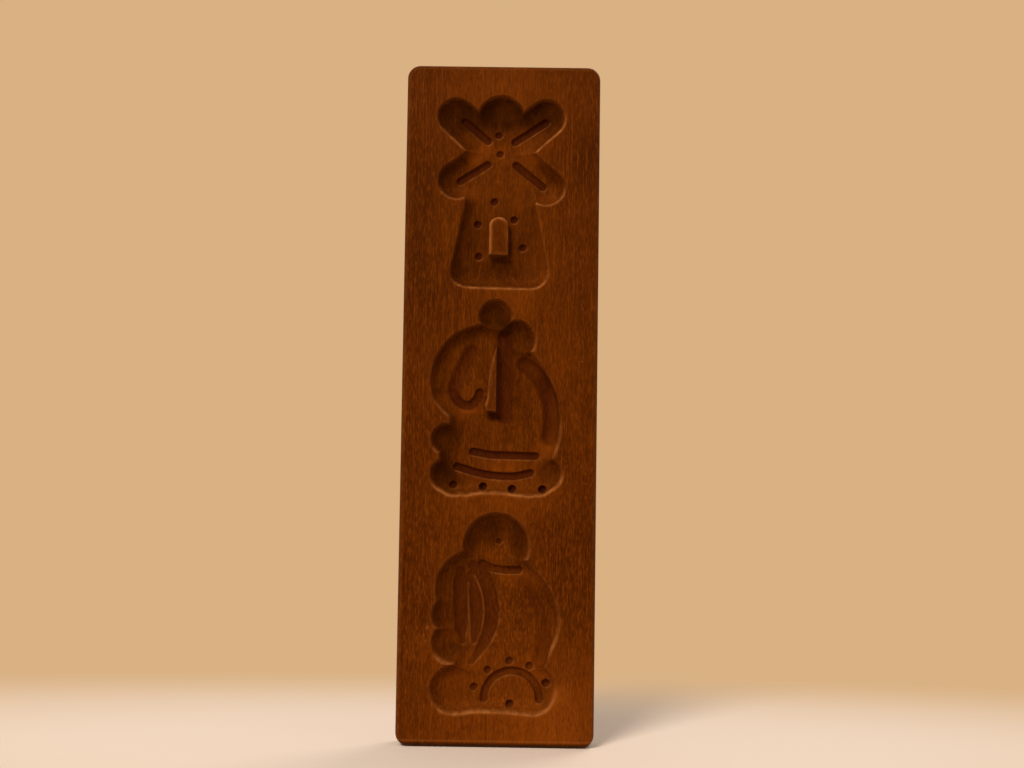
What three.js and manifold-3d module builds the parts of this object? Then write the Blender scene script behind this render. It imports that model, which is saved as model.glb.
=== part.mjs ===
// Speculaas board: a stained beech plank with three pockets cut in its face, a windmill, a sailing
// ship and a perched bird, in which spiced biscuit dough is shaped. A ring hanger is screwed to its back.
// Millimetres. +X is right and +Z is up as seen from the carved face, which looks along -Y.
// The origin is the middle of the lower end.
import * as THREE from "three";
import { mergeVertices } from "three/addons/utils/BufferGeometryUtils.js";
import Module from "manifold-3d";

const wasm = await Module();
wasm.setup();

// Plank
const boardWidth = 105;
const boardHeight = 366;
const boardThickness = 20;
const cornerRadius = 7;
const arrisRadius = 2.5;

// Plain wood left below, between and above the pockets
const bottomMargin = 17.5;
const birdToShip = 8.3;
const shipToMill = 5.7;
const topMargin = 16;

// Cutter marks
const pocketDepth = 5.5;
const rimLip = 0.6;
const coveWidth = 6.5;
const lobeExtraDepth = 0.6;
const grooveDepth = 1.7;
const grooveRadius = 2.15;
const wideGrooveRadius = 2.7;
const dotDepth = 1.6;
const dotRadius = 2.15;

// Ring hanger
const hangerTopMargin = 20;
const wireRadius = 0.9;
const wirePlay = 0.3;
const ringSidePlay = 1.4;
const ringEndPlay = 2.2;
const ringCornerRadius = 2.2;
const strapThickness = 0.8;
const strapWidth = 9;
const strapLength = 15;
const strapJoggle = 3.6;
const screwEndMargin = 5.2;
const screwShankRadius = 1.5;
const screwReach = 8;
const screwHeadRadius = 2.9;
const screwHeadHeight = 1.8;
const slotWidth = 0.8;
const slotDepth = 0.9;
const fitGap = 0.3;

// How finely round stretches are cut into flats
const outlineStep = 3.1;
const coveFacets = 3;
const grooveStep = 3.2;
const grooveSides = 8;
const ballRings = 6;
const aboveFace = 1;

const faceY = -boardThickness / 2;
const backY = boardThickness / 2;
const pocketHeight = (boardHeight - bottomMargin - birdToShip - shipToMill - topMargin) / 3;

// Each figure is drawn 106.2 high from its own lowest point, and is scaled to the height it gets.
const drawnHeight = 106.2;
const figureScale = pocketHeight / drawnHeight;
const birdBase = bottomMargin;
const shipBase = birdBase + pocketHeight + birdToShip;
const millBase = shipBase + pocketHeight + shipToMill;

function toSolid(geometry) {
  const bare = geometry.index ? geometry.toNonIndexed() : geometry.clone();
  bare.deleteAttribute("normal");
  bare.deleteAttribute("uv");
  const merged = mergeVertices(bare, 1e-4);
  const corners = merged.index.array;
  const kept = [];
  for (let i = 0; i < corners.length; i += 3) {
    const [a, b, c] = corners.slice(i, i + 3);
    if (a !== b && b !== c && c !== a) kept.push(a, b, c);
  }
  const vertProperties = merged.attributes.position.array;
  return new wasm.Manifold(new wasm.Mesh({ numProp: 3, vertProperties, triVerts: new Uint32Array(kept) }));
}

function joined(solids) {
  return solids.reduce((sum, solid) => sum.add(solid));
}

function toMesh(name, solid, material) {
  const { vertProperties, triVerts } = solid.getMesh();
  const geometry = new THREE.BufferGeometry();
  geometry.setAttribute("position", new THREE.BufferAttribute(vertProperties, 3));
  geometry.setIndex(new THREE.BufferAttribute(triVerts, 1));
  const flat = geometry.toNonIndexed();
  flat.computeVertexNormals();
  const mesh = new THREE.Mesh(flat, material);
  mesh.name = name;
  return mesh;
}

// A figure's own drawing frame: x from the plank's middle and z from the figure's lowest point.
function figureFrame(base) {
  return (x, z) => new THREE.Vector2(x * figureScale, base + z * figureScale);
}

// Points of an arc, counter-clockwise, as that many flats: unless told, one for each outlineStep.
function arcPoints(centre, radius, from, to, flats = Math.round((radius * (to - from)) / outlineStep)) {
  const count = Math.max(3, flats);
  return Array.from({ length: count + 1 }, (_, i) => {
    const angle = from + ((to - from) * i) / count;
    return new THREE.Vector2(centre.x + radius * Math.cos(angle), centre.y + radius * Math.sin(angle));
  });
}

function discOutline(centre, radius, flats) {
  return arcPoints(centre, radius, 0, 2 * Math.PI, flats).slice(0, -1);
}

// Two round ends of their own radii and the straight sides that touch both.
function lobeOutline(start, startRadius, end, endRadius) {
  const along = end.clone().sub(start);
  const heading = along.angle();
  const turn = Math.acos((startRadius - endRadius) / along.length());
  return [
    ...arcPoints(end, endRadius, heading - turn, heading + turn),
    ...arcPoints(start, startRadius, heading + turn, heading + 2 * Math.PI - turn),
  ];
}

// One smooth closed curve through the given points.
function smoothOutline(points) {
  const curve = new THREE.CatmullRomCurve3(points.map((p) => new THREE.Vector3(p.x, p.y, 0)), true);
  const count = Math.round(curve.getLength() / outlineStep);
  return curve.getSpacedPoints(count).slice(0, -1).map((p) => new THREE.Vector2(p.x, p.y));
}

// A pocket with its outline at the face, a short upright lip and a hollow curved wall down to a flat floor.
function pocket(outline, depth = pocketDepth) {
  const cut = new THREE.ExtrudeGeometry(new THREE.Shape(outline), {
    depth: rimLip + aboveFace,
    bevelThickness: depth - rimLip,
    bevelSize: coveWidth,
    bevelOffset: -coveWidth,
    bevelSegments: coveFacets,
  });
  cut.rotateX(Math.PI / 2);
  cut.translate(0, faceY + rimLip, 0);
  return toSolid(cut);
}

// An island of wood that the pocket leaves standing up to the face.
function island(outline) {
  const block = new THREE.ExtrudeGeometry(new THREE.Shape(outline), {
    depth: pocketDepth + aboveFace,
    bevelEnabled: false,
  });
  block.rotateX(Math.PI / 2);
  block.translate(0, faceY + pocketDepth + aboveFace, 0);
  return toSolid(block);
}

function ball(centre, y, radius) {
  const nose = new THREE.SphereGeometry(radius, grooveSides, ballRings);
  nose.translate(centre.x, y, centre.y);
  return toSolid(nose);
}

// A round-nosed cut below the pocket's floor along a line or a smooth curve, with round ends.
function groove(points, radius = grooveRadius) {
  const y = faceY + pocketDepth + grooveDepth - radius;
  const path = new THREE.CatmullRomCurve3(points.map((p) => new THREE.Vector3(p.x, y, p.y)));
  const steps = points.length === 2 ? 1 : Math.round(path.getLength() / grooveStep);
  const section = new THREE.Shape(discOutline(new THREE.Vector2(), radius, grooveSides));
  const run = new THREE.ExtrudeGeometry(section, { extrudePath: path, steps, bevelEnabled: false });
  const ends = [points[0], points[points.length - 1]];
  return joined([toSolid(run), ...ends.map((end) => ball(end, y, radius))]);
}

function dot(centre) {
  return ball(centre, faceY + pocketDepth + dotDepth - dotRadius, dotRadius);
}

function windmill() {
  const at = figureFrame(millBase);
  const hub = at(-1, 74);
  const hubRadius = 12 * figureScale;
  const sailRadius = 10.3 * figureScale;
  const sailTips = [at(-25.6, 94.2), at(23.4, 93.8), at(-24.8, 59), at(23.6, 56)];
  const tower = new THREE.Path();
  tower.moveTo(...at(25, 57));
  tower.lineTo(...at(14, 74));
  tower.lineTo(...at(-16, 74));
  tower.lineTo(...at(-26.5, 59));
  tower.lineTo(...at(-20, 48.5));
  tower.lineTo(...at(-27.6, 11));
  tower.quadraticCurveTo(...at(-28.6, 1.2), ...at(-17, 0.5));
  tower.lineTo(...at(15, 0));
  tower.quadraticCurveTo(...at(25.4, 0.2), ...at(25.3, 11));
  tower.lineTo(...at(18.4, 46));
  const cuts = [
    ...sailTips.map((tip) => pocket(lobeOutline(hub, hubRadius, tip, sailRadius))),
    pocket(discOutline(at(-1, 92.2), 13.8 * figureScale), pocketDepth + lobeExtraDepth),
    pocket(tower.getPoints(5)),
  ];
  const door = [
    at(-6.8, 18.3),
    at(3.6, 18.3),
    at(3.6, 35),
    at(2.6, 37.2),
    at(0.6, 38.7),
    at(-1.6, 39.1),
    at(-3.8, 38.7),
    at(-5.8, 37.2),
    at(-6.8, 35),
  ];
  const spars = [
    [at(-21, 92.2), at(-8.2, 81.7)],
    [at(23.2, 92.3), at(6.6, 81.3)],
    [at(-8.4, 68.6), at(-23, 59.3)],
    [at(7.4, 68.4), at(22, 56.6)],
  ];
  const dots = [
    at(-2.4, 85.1),
    at(-1.6, 74.6),
    at(-4.3, 48.2),
    at(-13.2, 35.6),
    at(6.6, 38.4),
    at(11.4, 23.1),
    at(-12.5, 18.1),
  ];
  return joined(cuts)
    .subtract(island(door))
    .add(joined([...spars.map((ends) => groove(ends)), ...dots.map(dot)]));
}

function ship() {
  const at = figureFrame(shipBase);
  const sailsAndHull = [
    at(-8, 93),
    at(-17, 90.8),
    at(-24.5, 87.2),
    at(-31.2, 80.3),
    at(-35.7, 71.5),
    at(-37.2, 62),
    at(-35.6, 52.5),
    at(-31, 46.6),
    at(-26.6, 41.4),
    at(-28.5, 34.5),
    at(-31.4, 27.5),
    at(-32, 20.5),
    at(-30.5, 9.5),
    at(-25.5, 2.2),
    at(-18, 0.6),
    at(-9, 1.9),
    at(1, 1.9),
    at(10, 1),
    at(19, 0.6),
    at(27, 3.2),
    at(29.8, 11),
    at(29.3, 21),
    at(31.6, 28.5),
    at(33, 36.5),
    at(32.5, 45),
    at(30.8, 53),
    at(27.8, 61.5),
    at(23.5, 70),
    at(17.5, 77.5),
    at(10, 84),
    at(2, 91),
  ];
  const cuts = [
    pocket(smoothOutline(sailsAndHull)),
    pocket(discOutline(at(-2.5, 97), 9.3 * figureScale), pocketDepth + lobeExtraDepth),
    pocket(discOutline(at(8.3, 84.3), 11 * figureScale), pocketDepth + lobeExtraDepth),
    pocket(discOutline(at(-27.5, 30.5), 8.8 * figureScale)),
    pocket(lobeOutline(at(-27.4, 11.6), 9.2 * figureScale, at(-23.5, 9.4), 9.2 * figureScale)),
    pocket(lobeOutline(at(25, 12.6), 9.2 * figureScale, at(21, 9.9), 9.2 * figureScale)),
  ];
  const luff = [
    at(-2.6, 45.4),
    at(-2.6, 81),
    at(-4.2, 76),
    at(-5.4, 70.5),
    at(-6, 64),
    at(-6.6, 53),
    at(-7.8, 48.6),
    at(-6.8, 45.8),
  ];
  const foresail = [
    at(13, 70.8),
    at(17, 67.5),
    at(21, 60.5),
    at(24.3, 54),
    at(26.2, 46),
    at(26.7, 38),
    at(26.5, 32.5),
  ];
  const thinCuts = [
    [at(0.6, 86.3), at(0.6, 42.5)],
    [at(3.8, 86.3), at(3.8, 42.5)],
    [at(-16.5, 77.2), at(-19, 71), at(-22, 63.3), at(-25, 56)],
    [at(-13.8, 24), at(-9, 23.2), at(-4, 22.4), at(5, 22.2), at(19.9, 22)],
    [at(-22.3, 15.9), at(-17, 14.3), at(-12, 12.9), at(-6, 11.7), at(2, 11), at(9, 11.1), at(17.2, 12.9)],
  ];
  const boom = [at(-25, 56), at(-23, 52), at(-20, 49.6), at(-16, 48.9), at(-12.6, 51.8), at(-10.6, 55.8)];
  const dots = [at(-24.1, 6.2), at(-8, 5.4), at(7.5, 4.3), at(23.7, 4.3)];
  return joined(cuts)
    .subtract(island(luff))
    .add(
      joined([
        ...thinCuts.map((points) => groove(points)),
        groove(boom, wideGrooveRadius),
        groove(foresail, wideGrooveRadius),
        ...dots.map(dot),
      ]),
    );
}

function bird() {
  const at = figureFrame(birdBase);
  const body = [
    at(-12, 88),
    at(-19.5, 85),
    at(-26, 81),
    at(-30.6, 74.5),
    at(-32.6, 66.5),
    at(-31.5, 58),
    at(-27, 48),
    at(-24, 34),
    at(-21, 22),
    at(-8, 15),
    at(12, 15),
    at(23, 22),
    at(28.3, 32),
    at(32.4, 41.5),
    at(33.4, 51),
    at(30.6, 61),
    at(25.8, 69.5),
    at(19.5, 76.5),
    at(12, 84),
    at(0, 89),
  ];
  const mound = [
    at(-34.9, 12.8),
    at(-31.6, 4),
    at(-25.5, 0.2),
    at(-19, 0),
    at(-12, 1.1),
    at(-2, 1.2),
    at(8, 0.9),
    at(16, 0.1),
    at(23, 0.3),
    at(29.2, 4.4),
    at(32, 12.8),
    at(30.2, 20.6),
    at(24, 25.2),
    at(0, 26),
    at(-24, 25.4),
    at(-31.5, 21.2),
  ];
  const cuts = [
    pocket(discOutline(at(-0.5, 88.5), 17.7 * figureScale), pocketDepth + lobeExtraDepth),
    pocket(smoothOutline(body)),
    pocket(discOutline(at(-22.5, 51.4), 11.9 * figureScale)),
    pocket(discOutline(at(-22.8, 37), 11.4 * figureScale)),
    pocket(smoothOutline(mound)),
  ];
  const collar = [at(-8, 79), at(-3.5, 76.8), at(3, 75.6), at(11.5, 75.5)];
  const feathers = [
    [
      at(-12.5, 77),
      at(-9, 72.5),
      at(-5.8, 66),
      at(-4, 58),
      at(-3.8, 50),
      at(-4.8, 42),
      at(-7, 35),
      at(-11, 27.5),
    ],
    [at(-14, 71), at(-11.9, 64), at(-11, 55), at(-10.8, 46), at(-11.6, 38)],
    [at(-19.2, 75), at(-18.4, 60), at(-17.8, 38)],
  ];
  const archCentre = at(8.7, 7.5);
  const arch = arcPoints(archCentre, 14.7 * figureScale, 0, Math.PI);
  const dots = [
    at(1, 90.6),
    at(-11.4, 13.5),
    at(-4.3, 22.5),
    at(7.2, 27.4),
    at(18, 25),
    at(26.8, 16),
    at(7.8, 4.9),
  ];
  return joined([
    ...cuts,
    groove(collar),
    ...feathers.map((points) => groove(points, wideGrooveRadius)),
    groove(arch),
    ...dots.map(dot),
  ]);
}

// Pilot hole for the hanger's screw, from the back.
const pivotHeight = boardHeight - hangerTopMargin;
const pilotDepth = screwReach + fitGap;
const screwDrop = strapLength - screwEndMargin;

function pilotHole() {
  const hole = new THREE.CylinderGeometry(
    screwShankRadius + fitGap,
    screwShankRadius + fitGap,
    pilotDepth + aboveFace,
    16,
  );
  hole.translate(0, backY - pilotDepth + (pilotDepth + aboveFace) / 2, pivotHeight - screwDrop);
  return toSolid(hole);
}

// The plank: rounded corners, and a rounded arris all round both faces.
function plank() {
  const x = boardWidth / 2 - cornerRadius;
  const low = cornerRadius;
  const high = boardHeight - cornerRadius;
  const quarter = Math.PI / 2;
  const outline = [
    ...arcPoints(new THREE.Vector2(x, low), cornerRadius, -quarter, 0),
    ...arcPoints(new THREE.Vector2(x, high), cornerRadius, 0, quarter),
    ...arcPoints(new THREE.Vector2(-x, high), cornerRadius, quarter, 2 * quarter),
    ...arcPoints(new THREE.Vector2(-x, low), cornerRadius, 2 * quarter, 3 * quarter),
  ];
  const block = new THREE.ExtrudeGeometry(new THREE.Shape(outline), {
    depth: boardThickness - 2 * arrisRadius,
    bevelThickness: arrisRadius,
    bevelSize: arrisRadius,
    bevelOffset: -arrisRadius,
    bevelSegments: coveFacets,
  });
  block.rotateX(Math.PI / 2);
  block.translate(0, backY - arrisRadius, 0);
  return toSolid(block);
}

function carvedBoard() {
  return plank().subtract(joined([windmill(), ship(), bird(), pilotHole()]));
}

// The hanger's own frame: y from the plank's back and z from the ring's pivot.
// The ring hangs round the strap.
const loopInner = wireRadius + wirePlay;
const loopOuter = loopInner + strapThickness;
const pivotOut = fitGap + loopOuter;
const strapOut = fitGap + 2 * strapThickness + fitGap;
const ringHalfWidth = strapWidth / 2 + ringSidePlay + wireRadius;
const ringBowCentre = ringHalfWidth - wireRadius - strapLength - ringEndPlay;

// One strip folded over the ring's bar: seen along X, a loop above two legs that lie close together.
function strap() {
  const inner = fitGap;
  const slit = strapOut - strapThickness;
  const outerEase = -strapJoggle * 0.5;
  const innerEase = -strapJoggle * 0.3;
  const side = new THREE.Shape();
  side.moveTo(inner, -strapLength);
  side.lineTo(inner, 0);
  side.absarc(pivotOut, 0, loopOuter, Math.PI, 0, true);
  side.bezierCurveTo(pivotOut + loopOuter, outerEase, strapOut, outerEase, strapOut, -strapJoggle);
  side.lineTo(strapOut, -strapLength);
  side.lineTo(slit, -strapLength);
  side.lineTo(slit, -strapJoggle);
  side.bezierCurveTo(slit, innerEase, pivotOut + loopInner, innerEase, pivotOut + loopInner, 0);
  side.absarc(pivotOut, 0, loopInner, 0, Math.PI, false);
  side.lineTo(inner + strapThickness, -strapLength);
  const fold = { depth: strapWidth, bevelEnabled: false, curveSegments: 6 };
  const strip = new THREE.ExtrudeGeometry(side, fold);
  strip.rotateX(Math.PI / 2);
  strip.rotateZ(Math.PI / 2);
  strip.translate(-strapWidth / 2, 0, 0);
  const half = strapWidth / 2;
  const front = new THREE.Shape();
  front.moveTo(half, 2 * loopOuter);
  front.lineTo(-half, 2 * loopOuter);
  front.lineTo(-half, half - strapLength);
  front.absarc(0, half - strapLength, half, Math.PI, 2 * Math.PI, false);
  const hole = new THREE.Path();
  hole.absarc(0, -screwDrop, screwShankRadius + fitGap, 0, 2 * Math.PI);
  front.holes.push(hole);
  const depth = pivotOut + loopOuter + 2 * aboveFace;
  const plate = new THREE.ExtrudeGeometry(front, { depth, bevelEnabled: false, curveSegments: 8 });
  plate.rotateX(Math.PI / 2);
  plate.translate(0, depth - aboveFace, 0);
  return toSolid(strip).intersect(toSolid(plate));
}

// One wire bent to a long ring round its straight bar, its two ends butted in the middle of the bar.
// Drawn about the pivot, hanging down.
function ring() {
  const quarter = Math.PI / 2;
  const cornerCentre = new THREE.Vector2(ringHalfWidth - ringCornerRadius, -ringCornerRadius);
  const corner = arcPoints(cornerCentre, ringCornerRadius, 0, quarter, 3).reverse();
  const bow = arcPoints(new THREE.Vector2(0, ringBowCentre), ringHalfWidth, -quarter, 0, 4).reverse();
  const barEnd = new THREE.Vector2(fitGap / 2, 0);
  const legMiddle = new THREE.Vector2(ringHalfWidth, (ringBowCentre - ringCornerRadius) / 2);
  const right = [barEnd, ...corner, legMiddle, ...bow];
  const left = right.slice(0, -1).reverse().map((p) => new THREE.Vector2(-p.x, p.y));
  const points = [...right, ...left].map((p) => new THREE.Vector3(p.x, 0, p.y));
  const path = new THREE.CatmullRomCurve3(points, false, "centripetal");
  const section = new THREE.Shape().absarc(0, 0, wireRadius, 0, 2 * Math.PI);
  const wire = { extrudePath: path, steps: 48, bevelEnabled: false, curveSegments: 4 };
  return toSolid(new THREE.ExtrudeGeometry(section, wire));
}

// A round-headed wood screw, drawn about the underside of its head with its tip towards -Y.
function screw() {
  const tipLength = 2 * screwShankRadius;
  const length = screwReach + strapOut;
  const profile = [
    new THREE.Vector2(0, -length),
    new THREE.Vector2(screwShankRadius, tipLength - length),
    new THREE.Vector2(screwShankRadius, 0),
    new THREE.Vector2(screwHeadRadius, 0),
  ];
  for (const share of [0.25, 0.5, 0.75]) {
    const angle = (share * Math.PI) / 2;
    profile.push(new THREE.Vector2(screwHeadRadius * Math.cos(angle), screwHeadHeight * Math.sin(angle)));
  }
  profile.push(new THREE.Vector2(0, screwHeadHeight));
  const slot = new THREE.BoxGeometry(3 * screwHeadRadius, 2 * slotDepth, slotWidth);
  slot.translate(0, screwHeadHeight, 0);
  return toSolid(new THREE.LatheGeometry(profile, 20)).subtract(toSolid(slot));
}

const beech = new THREE.MeshStandardMaterial({ color: 0x6a300c, roughness: 0.5, metalness: 0 });
const brass = new THREE.MeshStandardMaterial({ color: 0xb08d4c, roughness: 0.35, metalness: 1 });
const brassWire = new THREE.MeshStandardMaterial({ color: 0xb8954f, roughness: 0.3, metalness: 1 });

const board = new THREE.Group();
board.add(toMesh("board", carvedBoard(), beech));

const hanger = new THREE.Group();
hanger.position.set(0, backY, pivotHeight);
board.add(hanger);
hanger.add(toMesh("hanger_strap", strap(), brass));

const hangerRing = toMesh("hanger_ring", ring(), brassWire);
hangerRing.position.y = pivotOut;
hanger.add(hangerRing);

const hangerScrew = toMesh("hanger_screw", screw(), brass);
hangerScrew.position.set(0, strapOut + fitGap, -screwDrop);
hanger.add(hangerScrew);

export default board;
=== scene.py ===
import math

import bmesh
import bpy
import numpy as np
from mathutils import Matrix, Vector


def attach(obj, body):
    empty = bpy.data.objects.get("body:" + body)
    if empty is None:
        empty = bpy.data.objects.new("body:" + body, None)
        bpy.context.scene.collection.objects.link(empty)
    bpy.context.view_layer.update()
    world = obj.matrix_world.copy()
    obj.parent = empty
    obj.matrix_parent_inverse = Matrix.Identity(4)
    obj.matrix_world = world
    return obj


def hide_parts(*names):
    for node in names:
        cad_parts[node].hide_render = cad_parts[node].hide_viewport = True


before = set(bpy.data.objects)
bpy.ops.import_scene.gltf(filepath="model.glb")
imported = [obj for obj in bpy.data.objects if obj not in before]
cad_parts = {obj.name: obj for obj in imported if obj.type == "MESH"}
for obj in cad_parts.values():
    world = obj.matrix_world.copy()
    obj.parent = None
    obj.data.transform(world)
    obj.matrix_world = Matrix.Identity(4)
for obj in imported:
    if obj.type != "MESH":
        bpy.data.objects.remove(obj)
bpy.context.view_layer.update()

mm = 0.001  # the pieces are worked out in millimetres and made in metres
print("stage: frame loaded,", len(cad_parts), "solids")


# Plank. Its carved face is a height map on a lattice whose cells are halved where the wood is cut.

plank = {
    "width": 105.0,
    "height": 366.0,
    "thickness": 20.0,
    "corner": 7.0,
    "arris": 2.5,
    "cell": 2.4,  # cells of the plain wood
    "halvings": 3,  # cells are halved this often where the wood is cut
    "tolerance": 0.026,  # how far a cell may lie off the true surface before it is halved
    "snap": 0.49,  # share of a fine cell that a corner may move to lie on a rim
    "thinnest": 0.3,  # share of a fine cell that must be left at each of its corners
    "backSteps": 6,  # times that points in too thin a cell go half the way back
    "cornerSteps": 10,
    "arrisSteps": 7,
    "guard": 0.4,  # a flat strip beside each rounding, so that it shades the flat wood evenly
    "arrisWear": 0.12,
    "pilotRadius": 1.8,
    "pilotDepth": 8.3,
    "pilotHeight": 336.2,
    "pilotSteps": 16,
}

cuts = {
    "depth": 5.5,
    "lobeExtra": 0.6,  # the round lobes at the head of each figure go a little deeper
    "rim": 0.8,  # radius of the rubbed rim
    "rimReach": 0.7,  # how far the rubbed rim runs out from the outline
    "cove": 10.0,  # width of the hollow side, out to the level floor
    "deepCove": 13.0,  # the same in the round lobes
    "coveBend": 3.4,
    "ridge": 0.34,  # height and half width of the ridges left between the wing's feathers
    "ridgeWidth": 0.5,
    "wallSlope": 14.0,  # rise over run of the upright sides of grooves
    "islandRun": 0.3,  # how far the side of an island comes out down to the floor
    "blend": 0.6,  # softening where two hollows meet
    "nose": 0.995,  # share of a cutter's radius that is round, before its upright side
    "sunk": 0.98,  # share of it that a cut's half width is worked out to
    "thinSoft": 0.5,  # a cut with an edge less soft than this gets a painted highlight along its lower side
    "edgeResidue": 0.6,  # share of the old stain at a cut's very edge
    "ridgeResidue": 0.25,  # and on a ridge
}

# Cuts below the pocket's floor: the cutter's radius, how deep it goes, how soft its edge is, how much old
# stain has gathered in it, and how far up the cutter is at its path's start and end
cutStyles = {
    "groove": {"radius": 2.2, "deep": 1.7, "soft": 0.4, "residue": 0.7},
    "hook": {"radius": 2.6, "deep": 1.6, "soft": 0.6, "residue": 0.65},
    "mast": {"radius": 3.0, "deep": 1.5, "soft": 1.3, "residue": 0.58},
    "sheet": {"radius": 4.6, "deep": 1.7, "soft": 1.1, "residue": 0.44},
    "feather": {"radius": 5.2, "deep": 1.8, "soft": 0.4, "residue": 0.8, "lift": (1.0, 1.5)},
    "hollow": {"radius": 5.0, "deep": 0.9, "soft": 0.9, "residue": 0.6},
    "dot": {"radius": 2.15, "deep": 1.6, "soft": 0.3, "residue": 0.85},
    "eye": {"radius": 2.0, "deep": 1.5, "soft": 0.3, "residue": 0.85},
}

drawnHeight = 106.2
margins = {"below": 17.5, "birdToShip": 8.3, "shipToMill": 5.7, "above": 16.0}
figureHeight = (plank["height"] - sum(margins.values())) / 3
figureScale = figureHeight / drawnHeight
birdBase = margins["below"]
shipBase = birdBase + figureHeight + margins["birdToShip"]
millBase = shipBase + figureHeight + margins["shipToMill"]


def archOutline(left, right, foot, spring, crown):
    # Straight sides from the foot to the spring, and half an ellipse over them.
    turn = np.linspace(0, np.pi, 17)
    middle, half = (left + right) / 2, (right - left) / 2
    arch = np.stack([middle + half * np.cos(turn), spring + (crown - spring) * np.sin(turn)], 1)
    return [(left, foot), (right, foot), *arch]


windmill = {
    "base": millBase,
    "residue": 1.0,  # how much of the old stain is left in its cuts
    "lobes": [  # start, start radius, end, end radius: the four sails
        ((-1, 74), 12, (-25.6, 94.2), 10.3),
        ((-1, 74), 12, (23.4, 93.8), 10.3),
        ((-1, 74), 12, (-24.8, 59), 10.3),
        ((-1, 74), 12, (23.6, 56), 10.3),
    ],
    "deepDiscs": [((-1, 92.2), 13.8)],  # the cap
    "tower": {
        "head": [(18.4, 46), (25, 57), (14, 74), (-16, 74), (-26.5, 59), (-20, 48.5), (-27.6, 11)],
        "feet": [[(-27.6, 11), (-28.6, 1.2), (-17, 0.5)], [(15, 0), (25.4, 0.2), (25.3, 11)]],
    },
    "islands": [  # how rubbed its rim is and how strong the painted highlight on it is, how stained it is, and its outline: the door
        (1.0, 0.35, archOutline(-6.8, 3.6, 18.3, 34.4, 39.1)),
    ],
    "groove": [  # the spars
        [(-21, 92.2), (-8.2, 81.7)],
        [(23.2, 92.3), (6.6, 81.3)],
        [(-8.4, 68.6), (-23, 59.3)],
        [(7.4, 68.4), (22, 56.6)],
    ],
    "dot": [
        (-2.4, 85.1), (-1.6, 74.6), (-4.3, 48.2), (-13.2, 35.6), (6.6, 38.4), (11.4, 23.1), (-12.5, 18.1),
    ],
    "stainsAndShade": [  # middle, half across, half up, turn in degrees, strength: above nought it paints stain and shade, below nought rubbed pale wood and light
        # Painted shade over the upper halves of the sails and the cap
        (-23, 96, 15, 13, 30, 0.9),
        (0, 97, 17, 13, 0, 1),
        (22, 96.5, 14, 11, -30, 0.85),
        (-9, 77.5, 4, 5, 0, -0.7),
        (-1.5, 75, 4, 5, 0, -0.3),
        (-16, 72.5, 6, 4.5, 0, -0.6),
        (15, 72, 6, 5, 0, -0.6),
        (26, 48, 8, 5, 0, -0.5),
        (-18, 51, 6, 5, 0, -0.8),
        (-27, 63, 11, 8, 30, 0.5),
        (-20, 25, 7.5, 25, -8, 0.46),
        (22, 24, 4, 20, 8, -0.3),
        (-1, 25, 18, 19, 0, 0.48),
        (0, 46, 12, 8, 0, 0.2),
        (24, 4, 5, 5, 0, -0.4),
        (-2, 9, 18, 8, 0, 0.5),
    ],
    # Patches where the stain is worn through in specks, given in the same way
    "specks": [(0, 60, 16, 16, 0, 0.25), (-2, 10, 18, 7, 0, 0.7)],
}

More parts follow.
